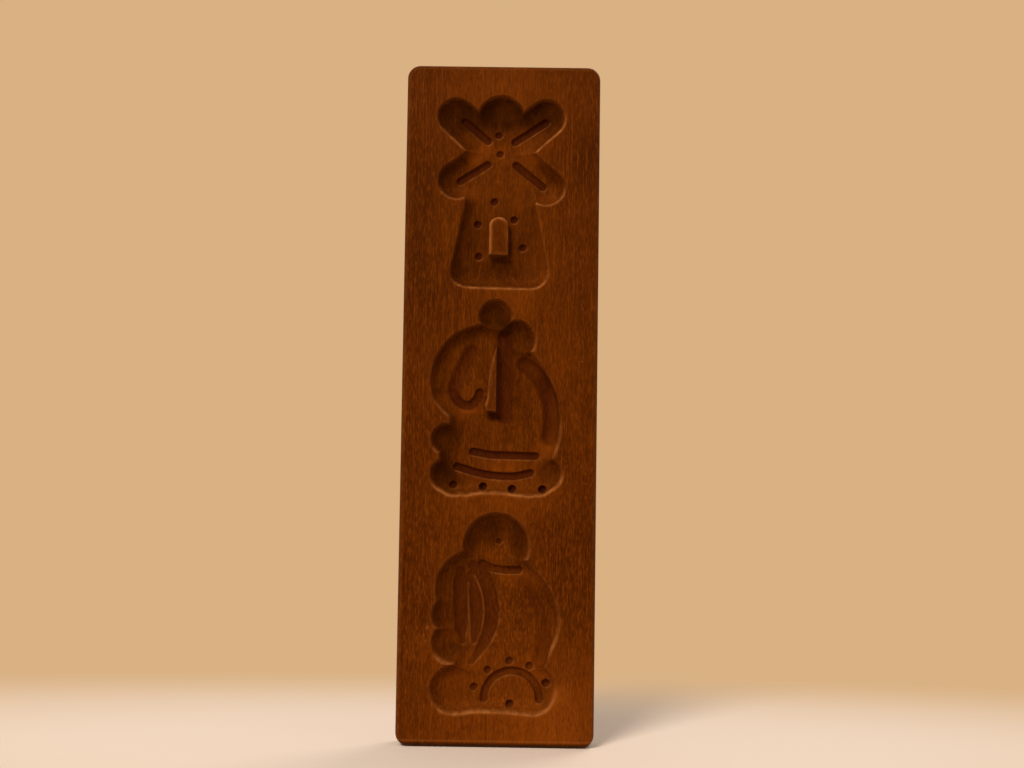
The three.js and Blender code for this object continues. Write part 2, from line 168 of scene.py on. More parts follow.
ship = {
    "base": shipBase,
    "residue": 1.15,
    "bodies": [  # sails and hull
        [
            (-8, 93), (-17, 90.8), (-24.5, 87.2), (-31.2, 80.3), (-35.7, 71.5), (-37.2, 62), (-35.6, 52.5),
            (-31, 46.6), (-26.6, 41.4), (-28.5, 34.5), (-31.4, 27.5), (-32, 20.5), (-30.5, 9.5), (-25.5, 2.2),
            (-18, 0.6), (-9, 1.9), (1, 1.9), (10, 1), (19, 0.6), (27, 3.2), (29.8, 11), (29.3, 21),
            (31.6, 28.5), (33, 36.5), (32.5, 45), (30.8, 53), (27.8, 61.5), (23.5, 70), (17.5, 77.5),
            (10, 84), (2, 91),
        ],
    ],
    "deepDiscs": [((-2.5, 97), 9.3), ((8.3, 84.3), 11)],  # over the mast and beside it
    "discs": [((-27.5, 30.5), 8.8)],
    "lobes": [
        ((-27.4, 11.6), 9.2, (-23.5, 9.4), 9.2),
        ((25, 12.6), 9.2, (21, 9.9), 9.2),
    ],
    "islands": [  # the luff of the mainsail
        (0.5, 0.05, [
            (-1.4, 45.4), (-1.4, 81), (-3.4, 76), (-4.9, 70.5),
            (-5.8, 64), (-6.5, 53), (-7.7, 48.6), (-6.7, 45.8),
        ]),
    ],
    "mast": [
        [(1.6, 86.3), (1.6, 42.5)],
        [(4.4, 86.3), (4.4, 42.5)],
    ],
    "groove": [  # the strakes
        [(-13.8, 24), (-9, 23.2), (-4, 22.4), (5, 22.2), (19.9, 22)],
        [(-22.3, 15.9), (-17, 14.3), (-12, 12.9), (-6, 11.7), (2, 11), (9, 11.1), (17.2, 12.9)],
    ],
    "hook": [[(-25, 56), (-23, 52), (-20, 49.6), (-16, 48.9), (-12.6, 51.8), (-10.6, 55.8)]],
    "sheet": [
        [(-15.8, 77.8), (-18.6, 72), (-21.6, 65.6), (-23.8, 60), (-24.8, 56.4)],
        [(12.4, 71.4), (17, 68), (21.5, 62.5), (25, 56), (27, 49.5), (27.5, 43), (27.1, 37), (26.6, 32)],
    ],
    "dot": [(-24.1, 6.2), (-8, 5.4), (7.5, 4.3), (23.7, 4.3)],
    "stainsAndShade": [
        # Painted shade in the round lobes at the head
        (-1.5, 96, 11, 11, 0, 0.7),
        (10, 86, 12, 10, 0, 0.54),
        (20, 71, 7, 6, -35, -0.4),
        (-13, 70, 6, 10, 0, 0.2),
        (-21, 81, 15, 9, 35, 0.25),
        (-29, 67, 8, 12, 0, 0.2),
        (-22, 44, 5, 5, 0, -0.4),
        (-32, 50, 6, 6, 0, -0.3),
        # Painted shadow under the foot of the luff
        (-3.5, 43.4, 4.2, 2.6, 0, 1.0),
        (-15.5, 46.2, 5, 1.6, 0, -0.8),
        (-28.5, 32, 9, 9, 0, 0.85),
        (-28.5, 13, 9.5, 10.5, 0, 0.9),
        (28.5, 14, 8, 9, 0, 0.4),
        (31, 47, 6, 13, 5, -0.5),
        (28, 27, 8, 8, 0, -0.7),
        (13, 51, 7, 14, 0, 0.35),
        (0, 33, 17, 11, 0, 0.3),
        (0, 16.5, 18, 3, 0, -0.3),
        (0, 7, 22, 5, 0, 0.15),
    ],
    "specks": [(4, 42, 22, 30, 0, 0.35), (-12, 62, 8, 14, 0, 0.35)],
}

bird = {
    "base": birdBase,
    "residue": 0.65,
    "bodies": [
        [
            (-12, 88), (-19.5, 85), (-26, 81), (-30.6, 74.5), (-32.6, 66.5), (-31.5, 58), (-27, 48),
            (-24, 34), (-21, 22), (-8, 15), (12, 15), (23, 22), (28.3, 32), (32.4, 41.5), (33.4, 51),
            (30.6, 61), (25.8, 69.5), (19.5, 76.5), (12, 84), (0, 89),
        ],
        [  # the mound it stands on
            (-34.9, 12.8), (-31.6, 4), (-25.5, 0.2), (-19, 0), (-12, 1.1), (-2, 1.2), (8, 0.9), (16, 0.1),
            (23, 0.3), (29.2, 4.4), (32, 12.8), (30.2, 20.6), (24, 25.2), (0, 26), (-24, 25.4), (-31.5, 21.2),
        ],
    ],
    "deepDiscs": [((-0.5, 88.5), 17.7)],  # the head
    "discs": [((-22.5, 51.4), 11.9), ((-22.8, 37), 11.4)],  # the tail
    "groove": [[(-8, 79), (-3.5, 76.8), (3, 75.6), (11.5, 75.5)]],  # the collar
    "arches": [((8.7, 7.5), 14.7)],
    "feather": [
        [
            (-12.8, 77.6), (-8, 72.8), (-4.4, 65.6), (-2.6, 57.2),
            (-2.6, 48.8), (-4.9, 40.4), (-8.6, 33), (-12.6, 27),
        ],
        [(-13.6, 72.4), (-12.2, 66.5), (-11, 60), (-10.6, 52.5), (-10.6, 44.5), (-11.4, 37.8)],
        [(-19.2, 74.4), (-19.2, 65), (-19, 55), (-18.5, 45), (-17.8, 37.5)],
    ],
    "ridges": [
        [(-15.1, 68.4), (-15, 62), (-14.6, 54.9), (-13.9, 44.4), (-13.5, 36.6)],
        [(-12, 72), (-9.9, 67.7), (-7.6, 61.4), (-6.7, 52.9), (-7.1, 46), (-8, 41)],
    ],
    # Along the breast
    "hollow": [[(14.6, 68.6), (19, 62.5), (22.6, 56), (24.8, 49.3), (25, 42), (23.9, 34.6), (22.4, 28.5)]],
    "eye": [(1, 90.6)],
    "dot": [(-11.4, 13.5), (-4.3, 22.5), (7.2, 27.4), (18, 25), (26.8, 16), (7.8, 4.9)],
    "stainsAndShade": [
        # Painted shade and old stain in the head
        (0, 102, 15, 6, 0, 0.5),
        (12, 91, 6, 12, 0, 0.75),
        (-13, 91, 5, 8, 0, 0.5),
        (-3, 94, 8, 8, 0, 0.7),
        (-14.5, 79, 9, 4, 0, 0.2),
        (-25.5, 73, 9, 13, -15, 0.38),
        (-28.5, 53, 10, 9, 0, 0.42),
        (-27, 38, 11, 10, 0, 0.4),
        (-17, 57, 9, 24, 0, 0.22),
        (20, 72, 8, 6, -40, -0.4),
        (6, 50, 14, 22, 0, 0.3),
        (-25, 12, 12, 11, 0, 0.2),
        (8, 12, 20, 10, 0, 0.13),
        (24, 24, 9, 7, 0, -0.9),
        (-31, 20, 6, 7, 0, -0.35),
        (-12, 29, 6, 4, 0, -0.3),
        (-21, 31, 9, 6, 0, 0.35),
        (9, 71, 11, 4, 0, -0.5),
        (26, 10, 5, 8, 0, 0.35),
    ],
    "specks": [(7, 48, 14, 25, 0, 0.9), (8, 8, 14, 8, 0, 0.9), (3, 85, 8, 7, 0, 0.6)],
}

# Small knocks and scratches in the plain wood: middle, half length, half width, turn in degrees, depth and
# how pale they are
knocks = [
    ((-36.6, 62.6), 1.5, 0.5, 62, 0.16, 0.45),
    ((-38.3, 58.6), 1.2, 0.4, 75, 0.12, 0.35),
    ((-37.0, 55.6), 0.9, 0.4, 40, 0.1, 0.35),
    ((18.6, 117.6), 2.1, 0.28, 28, 0.22, -0.9),
    ((-46.5, 121.0), 0.8, 0.5, 80, 0.1, 0.5),
    ((44.2, 205.0), 0.7, 0.45, 15, 0.08, 0.4),
]

wear = {
    # Rubbed rims, by what they run round, with a painted highlight where they face the light: where the
    # rubbing and highlight are strongest, counted inwards from the outline, its width low on the plank and
    # how much narrower it is high up, how much the way that the rim faces counts for the painted highlight
    # (up, right, to either side), from and to which sum of these it grows, and the share of rubbing that is
    # there anyway
    "rims": {
        "pocket": (-0.05, 0.95, 0.33, (1.0, -0.25, 0.0), (0.0, 0.95), 0.12),
        "island": (0.35, 1.0, 0.0, (-0.95, 0.3, 0.0), (-0.3, 0.7), 0.25),
        "thin": (-0.12, 0.42, 0.0, (0.85, -0.45, 0.0), (0.1, 0.9), 0.0),
    },
    "narrowing": (40, 250),  # heights from and to which the rims get narrower
    "deepest": 3.0,  # below this only the edges of thin cuts get a painted highlight
    # Strength of the painted highlight along the lower edges of thin cuts
    "thinEdgeHighlight": 0.4,
    "ridgeRubbed": 0.3,
    "cove": (0.1, 1.6, 3.0, 9.5),  # inwards from the outline: old stain and painted shade start, are whole, thin and end
    "coveDepth": 0.6,
    # How much the way that a cove faces counts (up, right, to either side) against its painted shade
    "coveFacing": (1.0, -0.5, 0.2),
    "coveLit": (0.1, 0.9, 0.85),  # from and to which such sum the painted shade gets less where the cove faces the light, and how much less
    "coveLow": (110, 150, 0.5),  # heights below which it also gets less
    "patches": {"stainsAndShade": (0, 1.6), "specks": (0.5, 3)},  # how far inside the outline they are whole
    "overall": 0.06,  # how much darker the pockets are than the plain wood
}


def smoothCurve(points, closed=False, perSpan=8):
    # Centripetal Catmull-Rom: each span is a cubic whose end slopes come from the three gaps around it,
    # with a gap counted as the root of its length.
    points = np.asarray(points, float)
    if closed:
        before, start, end, after = (np.roll(points, k, 0) for k in (1, 0, -1, -2))
    else:
        longer = np.vstack([2 * points[0] - points[1], points, 2 * points[-1] - points[-2]])
        before, start, end, after = longer[:-3], longer[1:-2], longer[2:-1], longer[3:]
    pairs = ((before, start), (start, end), (end, after))
    gapIn, gap, gapOut = (np.sqrt(np.linalg.norm(b - a, axis=1))[:, None] for a, b in pairs)
    slopeIn = gap * ((start - before) / gapIn - (end - before) / (gapIn + gap) + (end - start) / gap)
    slopeOut = gap * ((end - start) / gap - (after - start) / (gap + gapOut) + (after - end) / gapOut)
    t = np.linspace(0, 1, perSpan, endpoint=False)[None, :, None]
    start, end, slopeIn, slopeOut = (a[:, None, :] for a in (start, end, slopeIn, slopeOut))
    curve = start + slopeIn * t + (3 * (end - start) - 2 * slopeIn - slopeOut) * t**2
    curve = (curve + (2 * (start - end) + slopeIn + slopeOut) * t**3).reshape(-1, points.shape[1])
    return curve if closed else np.vstack([curve, points[-1]])


def rising(value, low, high):
    # From nought to one between two values, eased at both.
    part = np.clip((value - low) / (high - low), 0, 1)
    return part * part * (3 - 2 * part)


def bell(away, width):
    # One at nought, falling off to both sides.
    return np.exp(-((away / width) ** 2))


def ellipse(x, z, cx, cz, halfLong, halfWide, turn):
    # Nought at the middle and one on the ellipse, whose long way is turned up from the level.
    ux, uz = math.cos(math.radians(turn)), math.sin(math.radians(turn))
    along = ((x - cx) * ux + (z - cz) * uz) / halfLong
    across = ((z - cz) * ux - (x - cx) * uz) / halfWide
    return along**2 + across**2


def pathDistance(x, z, path, closed=False):
    # Least distance to any straight stretch of the path, and the share of the path that lies before there.
    nearest, share = np.full(x.shape, np.inf), np.zeros(x.shape)
    ends = np.roll(path, -1, 0) if closed else path[1:]
    for number, ((ax, az), (bx, bz)) in enumerate(zip(path, ends)):
        ux, uz = bx - ax, bz - az
        along = np.clip(((x - ax) * ux + (z - az) * uz) / (ux * ux + uz * uz), 0, 1)
        away = (x - ax - along * ux) ** 2 + (z - az - along * uz) ** 2
        share = np.where(away < nearest, (number + along) / len(ends), share)
        nearest = np.minimum(nearest, away)
    return np.sqrt(nearest), share


def outlineInside(x, z, path):
    # Distance to the outline, positive where a line to the right crosses it an odd number of times.
    odd = np.zeros(x.shape, bool)
    for (ax, az), (bx, bz) in zip(path, np.roll(path, -1, 0)):
        if az != bz:
            odd ^= ((az > z) != (bz > z)) & (x < (bx - ax) * (z - az) / (bz - az) + ax)
    return np.where(odd, 1.0, -1.0) * pathDistance(x, z, path, True)[0]


def lobeInside(x, z, start, startRadius, end, endRadius):
    # Two discs and the straight sides that touch both: distance to whichever of the three is abreast.
    along = np.subtract(end, start)
    length = np.hypot(*along)
    ux, uz = along / length
    across = np.abs((x - start[0]) * -uz + (z - start[1]) * ux)
    forward = (x - start[0]) * ux + (z - start[1]) * uz
    taper = (startRadius - endRadius) / length
    straight = math.sqrt(1 - taper**2)
    reach = forward * straight - across * taper
    side = startRadius - (across * straight + forward * taper)
    side = np.where(reach < 0, startRadius - np.hypot(across, forward), side)
    return np.where(reach > length * straight, endRadius - np.hypot(across, forward - length), side)


def softMax(a, b, width):
    # The larger of two, eased by a parabola where they are within width of each other.
    near = np.maximum(width - np.abs(a - b), 0) / width
    return np.maximum(a, b) + near**2 * width / 4


def pocketWall(inside, depth, cove):
    # A part of a round over the rim, outside the outline, then a wall that starts steep and eases to the
    # floor: one less a power of the share of the cove that is still to come.
    reach, radius = cuts["rimReach"], cuts["rim"]
    over = np.clip(inside + reach, 0, reach)
    start = radius - math.sqrt(radius**2 - reach**2)
    hollow = 1 - np.clip(inside / cove, 0, 1)
    wall = start + (depth - start) * (1 - hollow ** cuts["coveBend"])
    return np.where(inside > 0, wall, radius - np.sqrt(radius**2 - over**2))


def islandTop(inside):
    # Level wood with a quarter round over its rim, and a steep side below.
    rim = cuts["rimReach"]
    over = np.clip(rim - inside, 0, rim)
    side = np.maximum(-inside, 0) / cuts["islandRun"]
    return rim - np.sqrt(rim**2 - over**2) + (cuts["depth"] - rim) * side


def roundNose(away, radius, bottom):
    # Depth under a ball-nosed cutter at a distance from its path, with a steep side past its radius.
    reach = cuts["nose"] * radius
    nose = np.sqrt(radius**2 - np.clip(away, 0, reach) ** 2)
    return bottom - radius + nose - np.maximum(away - reach, 0) * cuts["wallSlope"]


def figureShapes(figure):
    # Every shape of a figure as its kind, its points on the plank, and what else it goes by: a pocket's
    # radii, depth and cove, an island's rubbing and painted rim highlight and its stain, or the old stain
    # left in a cut.
    def at(points):
        return np.asarray(points, float) * figureScale + (0, figure["base"])

    deep, cove = cuts["depth"] + cuts["lobeExtra"], cuts["cove"]
    shapes = []
    for start, startRadius, end, endRadius in figure.get("lobes", []):
        radii = (startRadius * figureScale, endRadius * figureScale)
        shapes.append(("lobe", at([start, end]), (*radii, cuts["depth"], cove)))
    for centre, radius in figure.get("deepDiscs", []):
        shapes.append(("disc", at([centre]), (radius * figureScale, deep, cuts["deepCove"])))
    for centre, radius in figure.get("discs", []):
        shapes.append(("disc", at([centre]), (radius * figureScale, cuts["depth"], cove)))
    for body in figure.get("bodies", []):
        shapes.append(("outline", smoothCurve(at(body), True), (0, cuts["depth"], cove)))
    if "tower" in figure:
        t = np.linspace(0, 1, 7)[:, None]
        feet = [(1 - t) ** 2 * a + 2 * t * (1 - t) * b + t**2 * c
                for a, b, c in np.asarray(figure["tower"]["feet"], float)]
        outline = np.vstack([figure["tower"]["head"][:-1], *feet])
        shapes.append(("outline", at(outline), (0, cuts["depth"], cove)))
    for *shade, outline in figure.get("islands", []):
        shapes.append(("island", at(outline), shade))
    for path in figure.get("ridges", []):
        shapes.append(("ridge", smoothCurve(at(path)), None))
    for style in cutStyles:
        for path in figure.get(style, []):
            if np.ndim(path) == 1:
                path = [path]
            shapes.append((style, at(path) if len(path) < 3 else smoothCurve(at(path)), figure["residue"]))
    for centre, radius in figure.get("arches", []):
        turn = np.linspace(0, np.pi, 40)[:, None]
        arch = np.asarray(centre) + radius * np.hstack([np.cos(turn), np.sin(turn)])
        shapes.append(("groove", at(arch), figure["residue"]))
    return shapes


shapes = [shape for figure in (windmill, ship, bird) for shape in figureShapes(figure)]

halfWidth = plank["width"] / 2 - plank["corner"]
lowEdge, highEdge = plank["corner"], plank["height"] - plank["corner"]
fine = 2 ** plank["halvings"]
cellsAcross = round(2 * halfWidth / plank["cell"])
cellsUp = round((highEdge - lowEdge) / plank["cell"])
latticeX = np.linspace(-halfWidth, halfWidth, cellsAcross * fine + 1)
latticeZ = np.linspace(lowEdge, highEdge, cellsUp * fine + 1)
fineCell = latticeX[1] - latticeX[0]
faceY, backY = -plank["thickness"] / 2, plank["thickness"] / 2


def window(points, reach):
    # The stretch of the lattice that a shape can touch.
    low, high = points.min(0) - reach, points.max(0) + reach
    columns = slice(*np.searchsorted(latticeX, (low[0], high[0])))
    rows = slice(*np.searchsorted(latticeZ, (low[1], high[1])))
    return rows, columns


def carve(x, z):
    # At each lattice point: depth below the plain wood, how far it is inside the pockets, the islands and the
    # thin cuts, how strong an island's rubbed rim and its painted highlight are and how stained it is, how
    # much old stain lies in the cuts, and how much of a ridge is there.
    cut = {name: np.full(x.shape, -50.0) for name in ("pocket", "island", "thin")}
    cut.update({name: np.zeros(x.shape) for name in ("depth", "rubAndHighlight", "islandStain", "residue", "ridge")})
    depth = cut["depth"]

    def enlarge(name, spot, values):
        cut[name][spot] = np.maximum(cut[name][spot], values)

    for kind, points, sizes in shapes:
        if kind not in ("lobe", "disc", "outline"):
            continue
        spot = window(points, 2.0 + sizes[0])
        px, pz = x[spot], z[spot]
        if kind == "lobe":
            inside = lobeInside(px, pz, points[0], sizes[0], points[1], sizes[1])
        elif kind == "disc":
            inside = sizes[0] - np.hypot(px - points[0, 0], pz - points[0, 1])
        else:
            inside = outlineInside(px, pz, points)
        wall = pocketWall(inside, *sizes[-2:])
        joined = softMax(depth[spot], wall, cuts["blend"])
        both = (depth[spot] > cuts["rimReach"]) & (wall > cuts["rimReach"])
        depth[spot] = np.where(both, joined, np.maximum(depth[spot], wall))
        enlarge("pocket", spot, inside)
    for kind, points, shade in shapes:
        if kind == "island":
            spot = window(points, 3.0)
            inside = outlineInside(x[spot], z[spot], points)
            depth[spot] = np.minimum(depth[spot], islandTop(inside))
            enlarge("island", spot, inside)
            cut["rubAndHighlight"][spot], cut["islandStain"][spot] = shade
    floor = depth.copy()
    for kind, points, left in shapes:
        if kind in cutStyles:
            style = cutStyles[kind]
            radius, bottom = style["radius"], cuts["depth"] + style["deep"]
            spot = window(points, radius + 2.0)
            if len(points) == 1:
                away = np.hypot(x[spot] - points[0, 0], z[spot] - points[0, 1])
            else:
                away, share = pathDistance(x[spot], z[spot], points)
                atStart, atEnd = style.get("lift", (0, 0))
                bottom = bottom - atStart * (1 - rising(share, 0, 0.2)) - atEnd * rising(share, 0.55, 1)
            depth[spot] = softMax(depth[spot], roundNose(away, radius, bottom), style["soft"])
            sunk = np.clip(floor[spot] - (bottom - radius), 0, cuts["sunk"] * radius)
            inside = np.sqrt(radius**2 - sunk**2) - away
            lying = np.clip(cuts["edgeResidue"] + inside / (2 * style["soft"]), 0, 1)
            enlarge("residue", spot, left * style["residue"] * lying)
            if style["soft"] < cuts["thinSoft"]:
                enlarge("thin", spot, inside)
    for kind, points, _ in shapes:
        if kind == "ridge":
            spot = window(points, 3.0)
            near = bell(pathDistance(x[spot], z[spot], points)[0], cuts["ridgeWidth"])
            depth[spot] -= cuts["ridge"] * near
            cut["residue"][spot] *= 1 - (1 - cuts["ridgeResidue"]) * near
            enlarge("ridge", spot, near)
    return cut


def snapTo(x, z, inside):
    # Lattice points near a rim move straight onto it: back along the slope of the distance to it.
    slopeZ, slopeX = np.gradient(inside, fineCell)
    moved = inside / np.maximum(slopeX**2 + slopeZ**2, 0.25)
    near = np.abs(inside) < plank["snap"] * fineCell
    near &= np.abs(moved) * np.hypot(slopeX, slopeZ) < plank["snap"] * fineCell
    return x - moved * slopeX, z - moved * slopeZ, near


def loosened(x, z, startX, startZ):
    # Where moved points leave a corner of a cell too thin, they go half the way back, a few times over.
    cell = [(slice(-1), slice(-1)), (slice(-1), slice(1, None)), (slice(1, None), slice(1, None)),
            (slice(1, None), slice(-1))]
    for _ in range(plank["backSteps"]):
        thin = np.zeros((x.shape[0] - 1, x.shape[1] - 1), bool)
        for before, here, after in zip(cell[-1:] + cell[:-1], cell, cell[1:] + cell[:1]):
            inX, inZ = x[here] - x[before], z[here] - z[before]
            outX, outZ = x[after] - x[here], z[after] - z[here]
            thin |= inX * outZ - inZ * outX < plank["thinnest"] * fineCell**2
        pressed = np.zeros(x.shape, bool)
        for part in cell:
            pressed[part] |= thin
        x, z = np.where(pressed, (x + startX) / 2, x), np.where(pressed, (z + startZ) / 2, z)
    return x, z


def carvedLattice():
    # Carves once to find the rims, moves the nearest lattice points on to them, and carves again there. A
    # knock is a shallow bowl over an ellipse.
    x, z = np.meshgrid(latticeX, latticeZ)
    startX, startZ = x, z
    snapped = np.zeros(x.shape, bool)
    first = carve(x, z)
    for inside in (first["pocket"], first["island"], first["island"] + cuts["islandRun"], first["thin"]):
        movedX, movedZ, near = snapTo(startX, startZ, inside)
        near &= ~snapped
        x, z = np.where(near, movedX, x), np.where(near, movedZ, z)
        snapped |= near
    x, z = loosened(x, z, startX, startZ)
    cut = carve(x, z)
    knocked = np.zeros(x.shape)
    for (cx, cz), halfLong, halfWide, turn, knockDepth, paleness in knocks:
        dent = np.maximum(1 - ellipse(x, z, cx, cz, halfLong, halfWide, turn), 0)
        cut["depth"] += knockDepth * dent * (cut["depth"] < 0.1)
        knocked += paleness * np.minimum(dent * 2, 1)
    return x, z, cut["depth"], snapped, {**patina(x, z, cut), "knocked": knocked}


def facing(inside, weights):
    # The way that a rim or wall faces, from the slope of the distance inside it: its parts up, to the right
    # and to either side, each times its weight.
    up, right = np.gradient(inside, fineCell)
    return weights[0] * up + weights[1] * right + weights[2] * np.abs(right)


def patina(x, z, cut):
    # Rims are rubbed pale and given a painted highlight, most where they face up, and the coves below them
    # hold old stain and painted shade, most where they face down. Patches of stain and painted shade, and of
    # wear, fall off as a cube does over ellipses, and keep to the pockets.
    pocket, island = cut["pocket"], cut["island"]
    rims = {}
    for name, (middle, width, narrower, weights, grows, anyway) in wear["rims"].items():
        width = width - narrower * rising(z, *wear["narrowing"])
        lit = anyway + (1 - anyway) * rising(facing(cut[name], weights), *grows)
        rims[name] = bell(cut[name] - middle, width) * lit
    rim = np.clip(rims["pocket"] + cut["rubAndHighlight"] * rims["island"], 0, 1) * (cut["depth"] < wear["deepest"])
    rim = np.maximum(rim, wear["thinEdgeHighlight"] * rims["thin"] * (pocket > 1))
    rim = np.maximum(rim, wear["ridgeRubbed"] * cut["ridge"])

    # Painted shade and old stain in the coves below the rims
    starts, whole, thins, ends = wear["cove"]
    grime = rising(pocket, starts, whole) * (1 - rising(pocket, thins, ends))
    grime *= cut["depth"] > wear["coveDepth"]
    low, high, less = wear["coveLit"]
    grime *= 1 - less * rising(facing(pocket, wear["coveFacing"]), low, high)
    low, high, less = wear["coveLow"]
    grime *= 1 - less + less * rising(z, low, high)

    shade = {"stainsAndShade": np.full(x.shape, wear["overall"]), "specks": np.zeros(x.shape)}
    for figure in (windmill, ship, bird):
        for kind, values in shade.items():
            for cx, cz, halfLong, halfWide, turn, strength in figure.get(kind, []):
                cx, cz, halfLong, halfWide = (figureScale * v for v in (cx, cz, halfLong, halfWide))
                away = ellipse(x, z, cx, cz + figure["base"], halfLong, halfWide, turn)
                values += strength * np.exp(-(away**1.5))
    grime *= 1 - np.clip(np.abs(shade["stainsAndShade"]), 0, 1)
    stain = np.clip(shade["stainsAndShade"], -1, 1) * rising(pocket, *wear["patches"]["stainsAndShade"])
    worn = np.clip(shade["specks"], 0, 1) * rising(pocket, *wear["patches"]["specks"]) * (island < 0)
    stain = np.where(island < 0, stain, cut["islandStain"])
    return {"rimWear": rim, "grime": grime, "stain": stain, "worn": worn, "residue": cut["residue"]}


def blockError(depth, size):
    # How far the middle and the side middles of each block lie off the flat laid through its corners.
    half = size // 2
    corner = depth[::size, ::size]
    upper, lower = corner[:-1], corner[1:]
    rowMiddle = depth[::size, half::size] - (corner[:, :-1] + corner[:, 1:]) / 2
    columnMiddle = depth[half::size, ::size] - (upper + lower) / 2
    middle = depth[half::size, half::size] - (upper[:, :-1] + upper[:, 1:] + lower[:, :-1] + lower[:, 1:]) / 4
    worst = np.maximum(np.abs(rowMiddle[:-1]), np.abs(rowMiddle[1:]))
    worst = np.maximum(worst, np.maximum(np.abs(columnMiddle[:, :-1]), np.abs(columnMiddle[:, 1:])))
    return np.maximum(worst, np.abs(middle))


def anyOf(mask, size):
    # Whether a block of so many cells each way has any that is marked.
    rows, columns = mask.shape[0] // size, mask.shape[1] // size
    return mask.reshape(rows, size, columns, size).any(axis=(1, 3))


def spread(mask):
    # Marks the eight neighbours of a marked cell too.
    wide = np.pad(mask, 1)
    rows, columns = mask.shape
    return np.any([wide[i:i + rows, j:j + columns] for i in range(3) for j in range(3)], axis=0)


def splitCells(depth, snapped, knocked):
    # For each size of block, from the finest pair up, whether it is split. A block next to a split one is
    # never more than twice as large.
    touched = snapped | (np.abs(knocked) > 0.01)
    touched = touched[:-1, :-1] | touched[1:, :-1] | touched[:-1, 1:] | touched[1:, 1:]
    split, size = {}, 2
    while size <= fine:
        wanted = blockError(depth, size) > plank["tolerance"]
        wanted |= anyOf(touched, size)
        if size > 2:
            wanted |= anyOf(spread(split[size // 2]), 2)
        split[size] = wanted
        size *= 2
    return split


def leafPolygons(split, depth):
    # Unsplit blocks as quads, or as fans where they also run through the corners of finer neighbours, and
    # the finest cells as triangle pairs on the better diagonal.
    rows, columns = depth.shape
    index = np.arange(rows * columns).reshape(rows, columns)
    leaves, used = {}, np.zeros(depth.shape, bool)
    size = fine
    present = np.ones(split[size].shape, bool)
    while size >= 1:
        r, c = np.nonzero(present & ~split[size] if size > 1 else present)
        leaves[size] = (r * size, c * size)
        for dr in (0, size):
            for dc in (0, size):
                used[leaves[size][0] + dr, leaves[size][1] + dc] = True
        if size > 1:
            present = np.repeat(np.repeat(present & split[size], 2, 0), 2, 1)
        size //= 2
    quads, triangles = [], []
    for size, (r, c) in leaves.items():
        if size == 1:
            a, b, d, e = index[r, c], index[r, c + 1], index[r + 1, c + 1], index[r + 1, c]
            flat = depth.ravel()
            first = np.abs(flat[a] - flat[d]) <= np.abs(flat[b] - flat[e])
            triangles.append(np.where(first[:, None], np.stack([a, b, d], 1), np.stack([a, b, e], 1)))
            triangles.append(np.where(first[:, None], np.stack([a, d, e], 1), np.stack([b, d, e], 1)))
            continue
        half = size // 2
        steps = [(0, 0), (0, half), (0, size), (half, size), (size, size), (size, half), (size, 0), (half, 0)]
        ring = np.stack([index[r + dr, c + dc] for dr, dc in steps], 1)
        pattern = sum(used[r + steps[k][0], c + steps[k][1]] * 2 ** (k // 2) for k in (1, 3, 5, 7))
        quads.append(ring[pattern == 0][:, ::2])
        for number in range(1, 16):
            order = [k for k in range(8) if k % 2 == 0 or number >> k // 2 & 1]
            apex = next(k for k in order if k % 2)
            order = order[order.index(apex):] + order[:order.index(apex)]
            fan = [(order[0], *order[k:k + 2]) for k in range(1, len(order) - 1)]
            triangles.append(ring[pattern == number][:, fan].reshape(-1, 3))
    quads, triangles = np.concatenate(quads), np.concatenate(triangles)
    counts = np.concatenate([np.full(len(quads), 4), np.full(len(triangles), 3)])
    return np.concatenate([quads.ravel(), triangles.ravel()]), counts, used


def meshPiece(name, corners, faces, counts, smooth=True):
    # Corners in millimetres as rows, and faces as one long row of corner numbers with a count for each.
    mesh = bpy.data.meshes.new(name)
    mesh.vertices.add(len(corners))
    mesh.vertices.foreach_set("co", (np.asarray(corners) * mm).astype(np.float32).ravel())
    mesh.loops.add(len(faces))
    mesh.loops.foreach_set("vertex_index", np.asarray(faces, np.int32))
    mesh.polygons.add(len(counts))
    mesh.polygons.foreach_set("loop_start", np.concatenate([[0], np.cumsum(counts)[:-1]]).astype(np.int32))
    mesh.polygons.foreach_set("use_smooth", np.full(len(counts), smooth))
    mesh.update(calc_edges=True)
    mesh.validate()
    piece = bpy.data.objects.new(name, mesh)
    bpy.context.scene.collection.objects.link(piece)
    return piece


def setShade(piece, name, values):
    # Keeps a value for each corner, which the finish reads by its name.
    attribute = piece.data.attributes.new(name, "FLOAT", "POINT")
    attribute.data.foreach_set("value", np.asarray(values, np.float32))


def borderRing(used):
    # The lattice's outer corners, counter-clockwise from the lower left, and the ring of steps round the
    # plank: each outer corner faces its own side, and the four last ones also swing through a quarter turn.
    rows, columns = used.shape
    index = np.arange(rows * columns).reshape(rows, columns)
    sides = [(index[0], used[0]), (index[:, -1], used[:, -1]), (index[-1, ::-1], used[-1, ::-1]),
             (index[::-1, 0], used[::-1, 0])]
    outer, base, turn, start = [], [], [], 0
    for number, (line, seen) in enumerate(sides):
        line = line[seen]
        outer.append(line[:-1])
        steps = start + np.arange(len(line))
        swing = np.linspace(0, np.pi / 2, plank["cornerSteps"] + 1)[1:-1]
        outward = (number - 1) * np.pi / 2
        base.append(np.concatenate([steps, np.full(len(swing), steps[-1])]))
        turn.append(np.concatenate([np.full(len(line), outward), outward + swing]))
        start += len(line) - 1
    outer = np.concatenate(outer)
    return outer, np.concatenate(base) % len(outer), np.concatenate(turn)


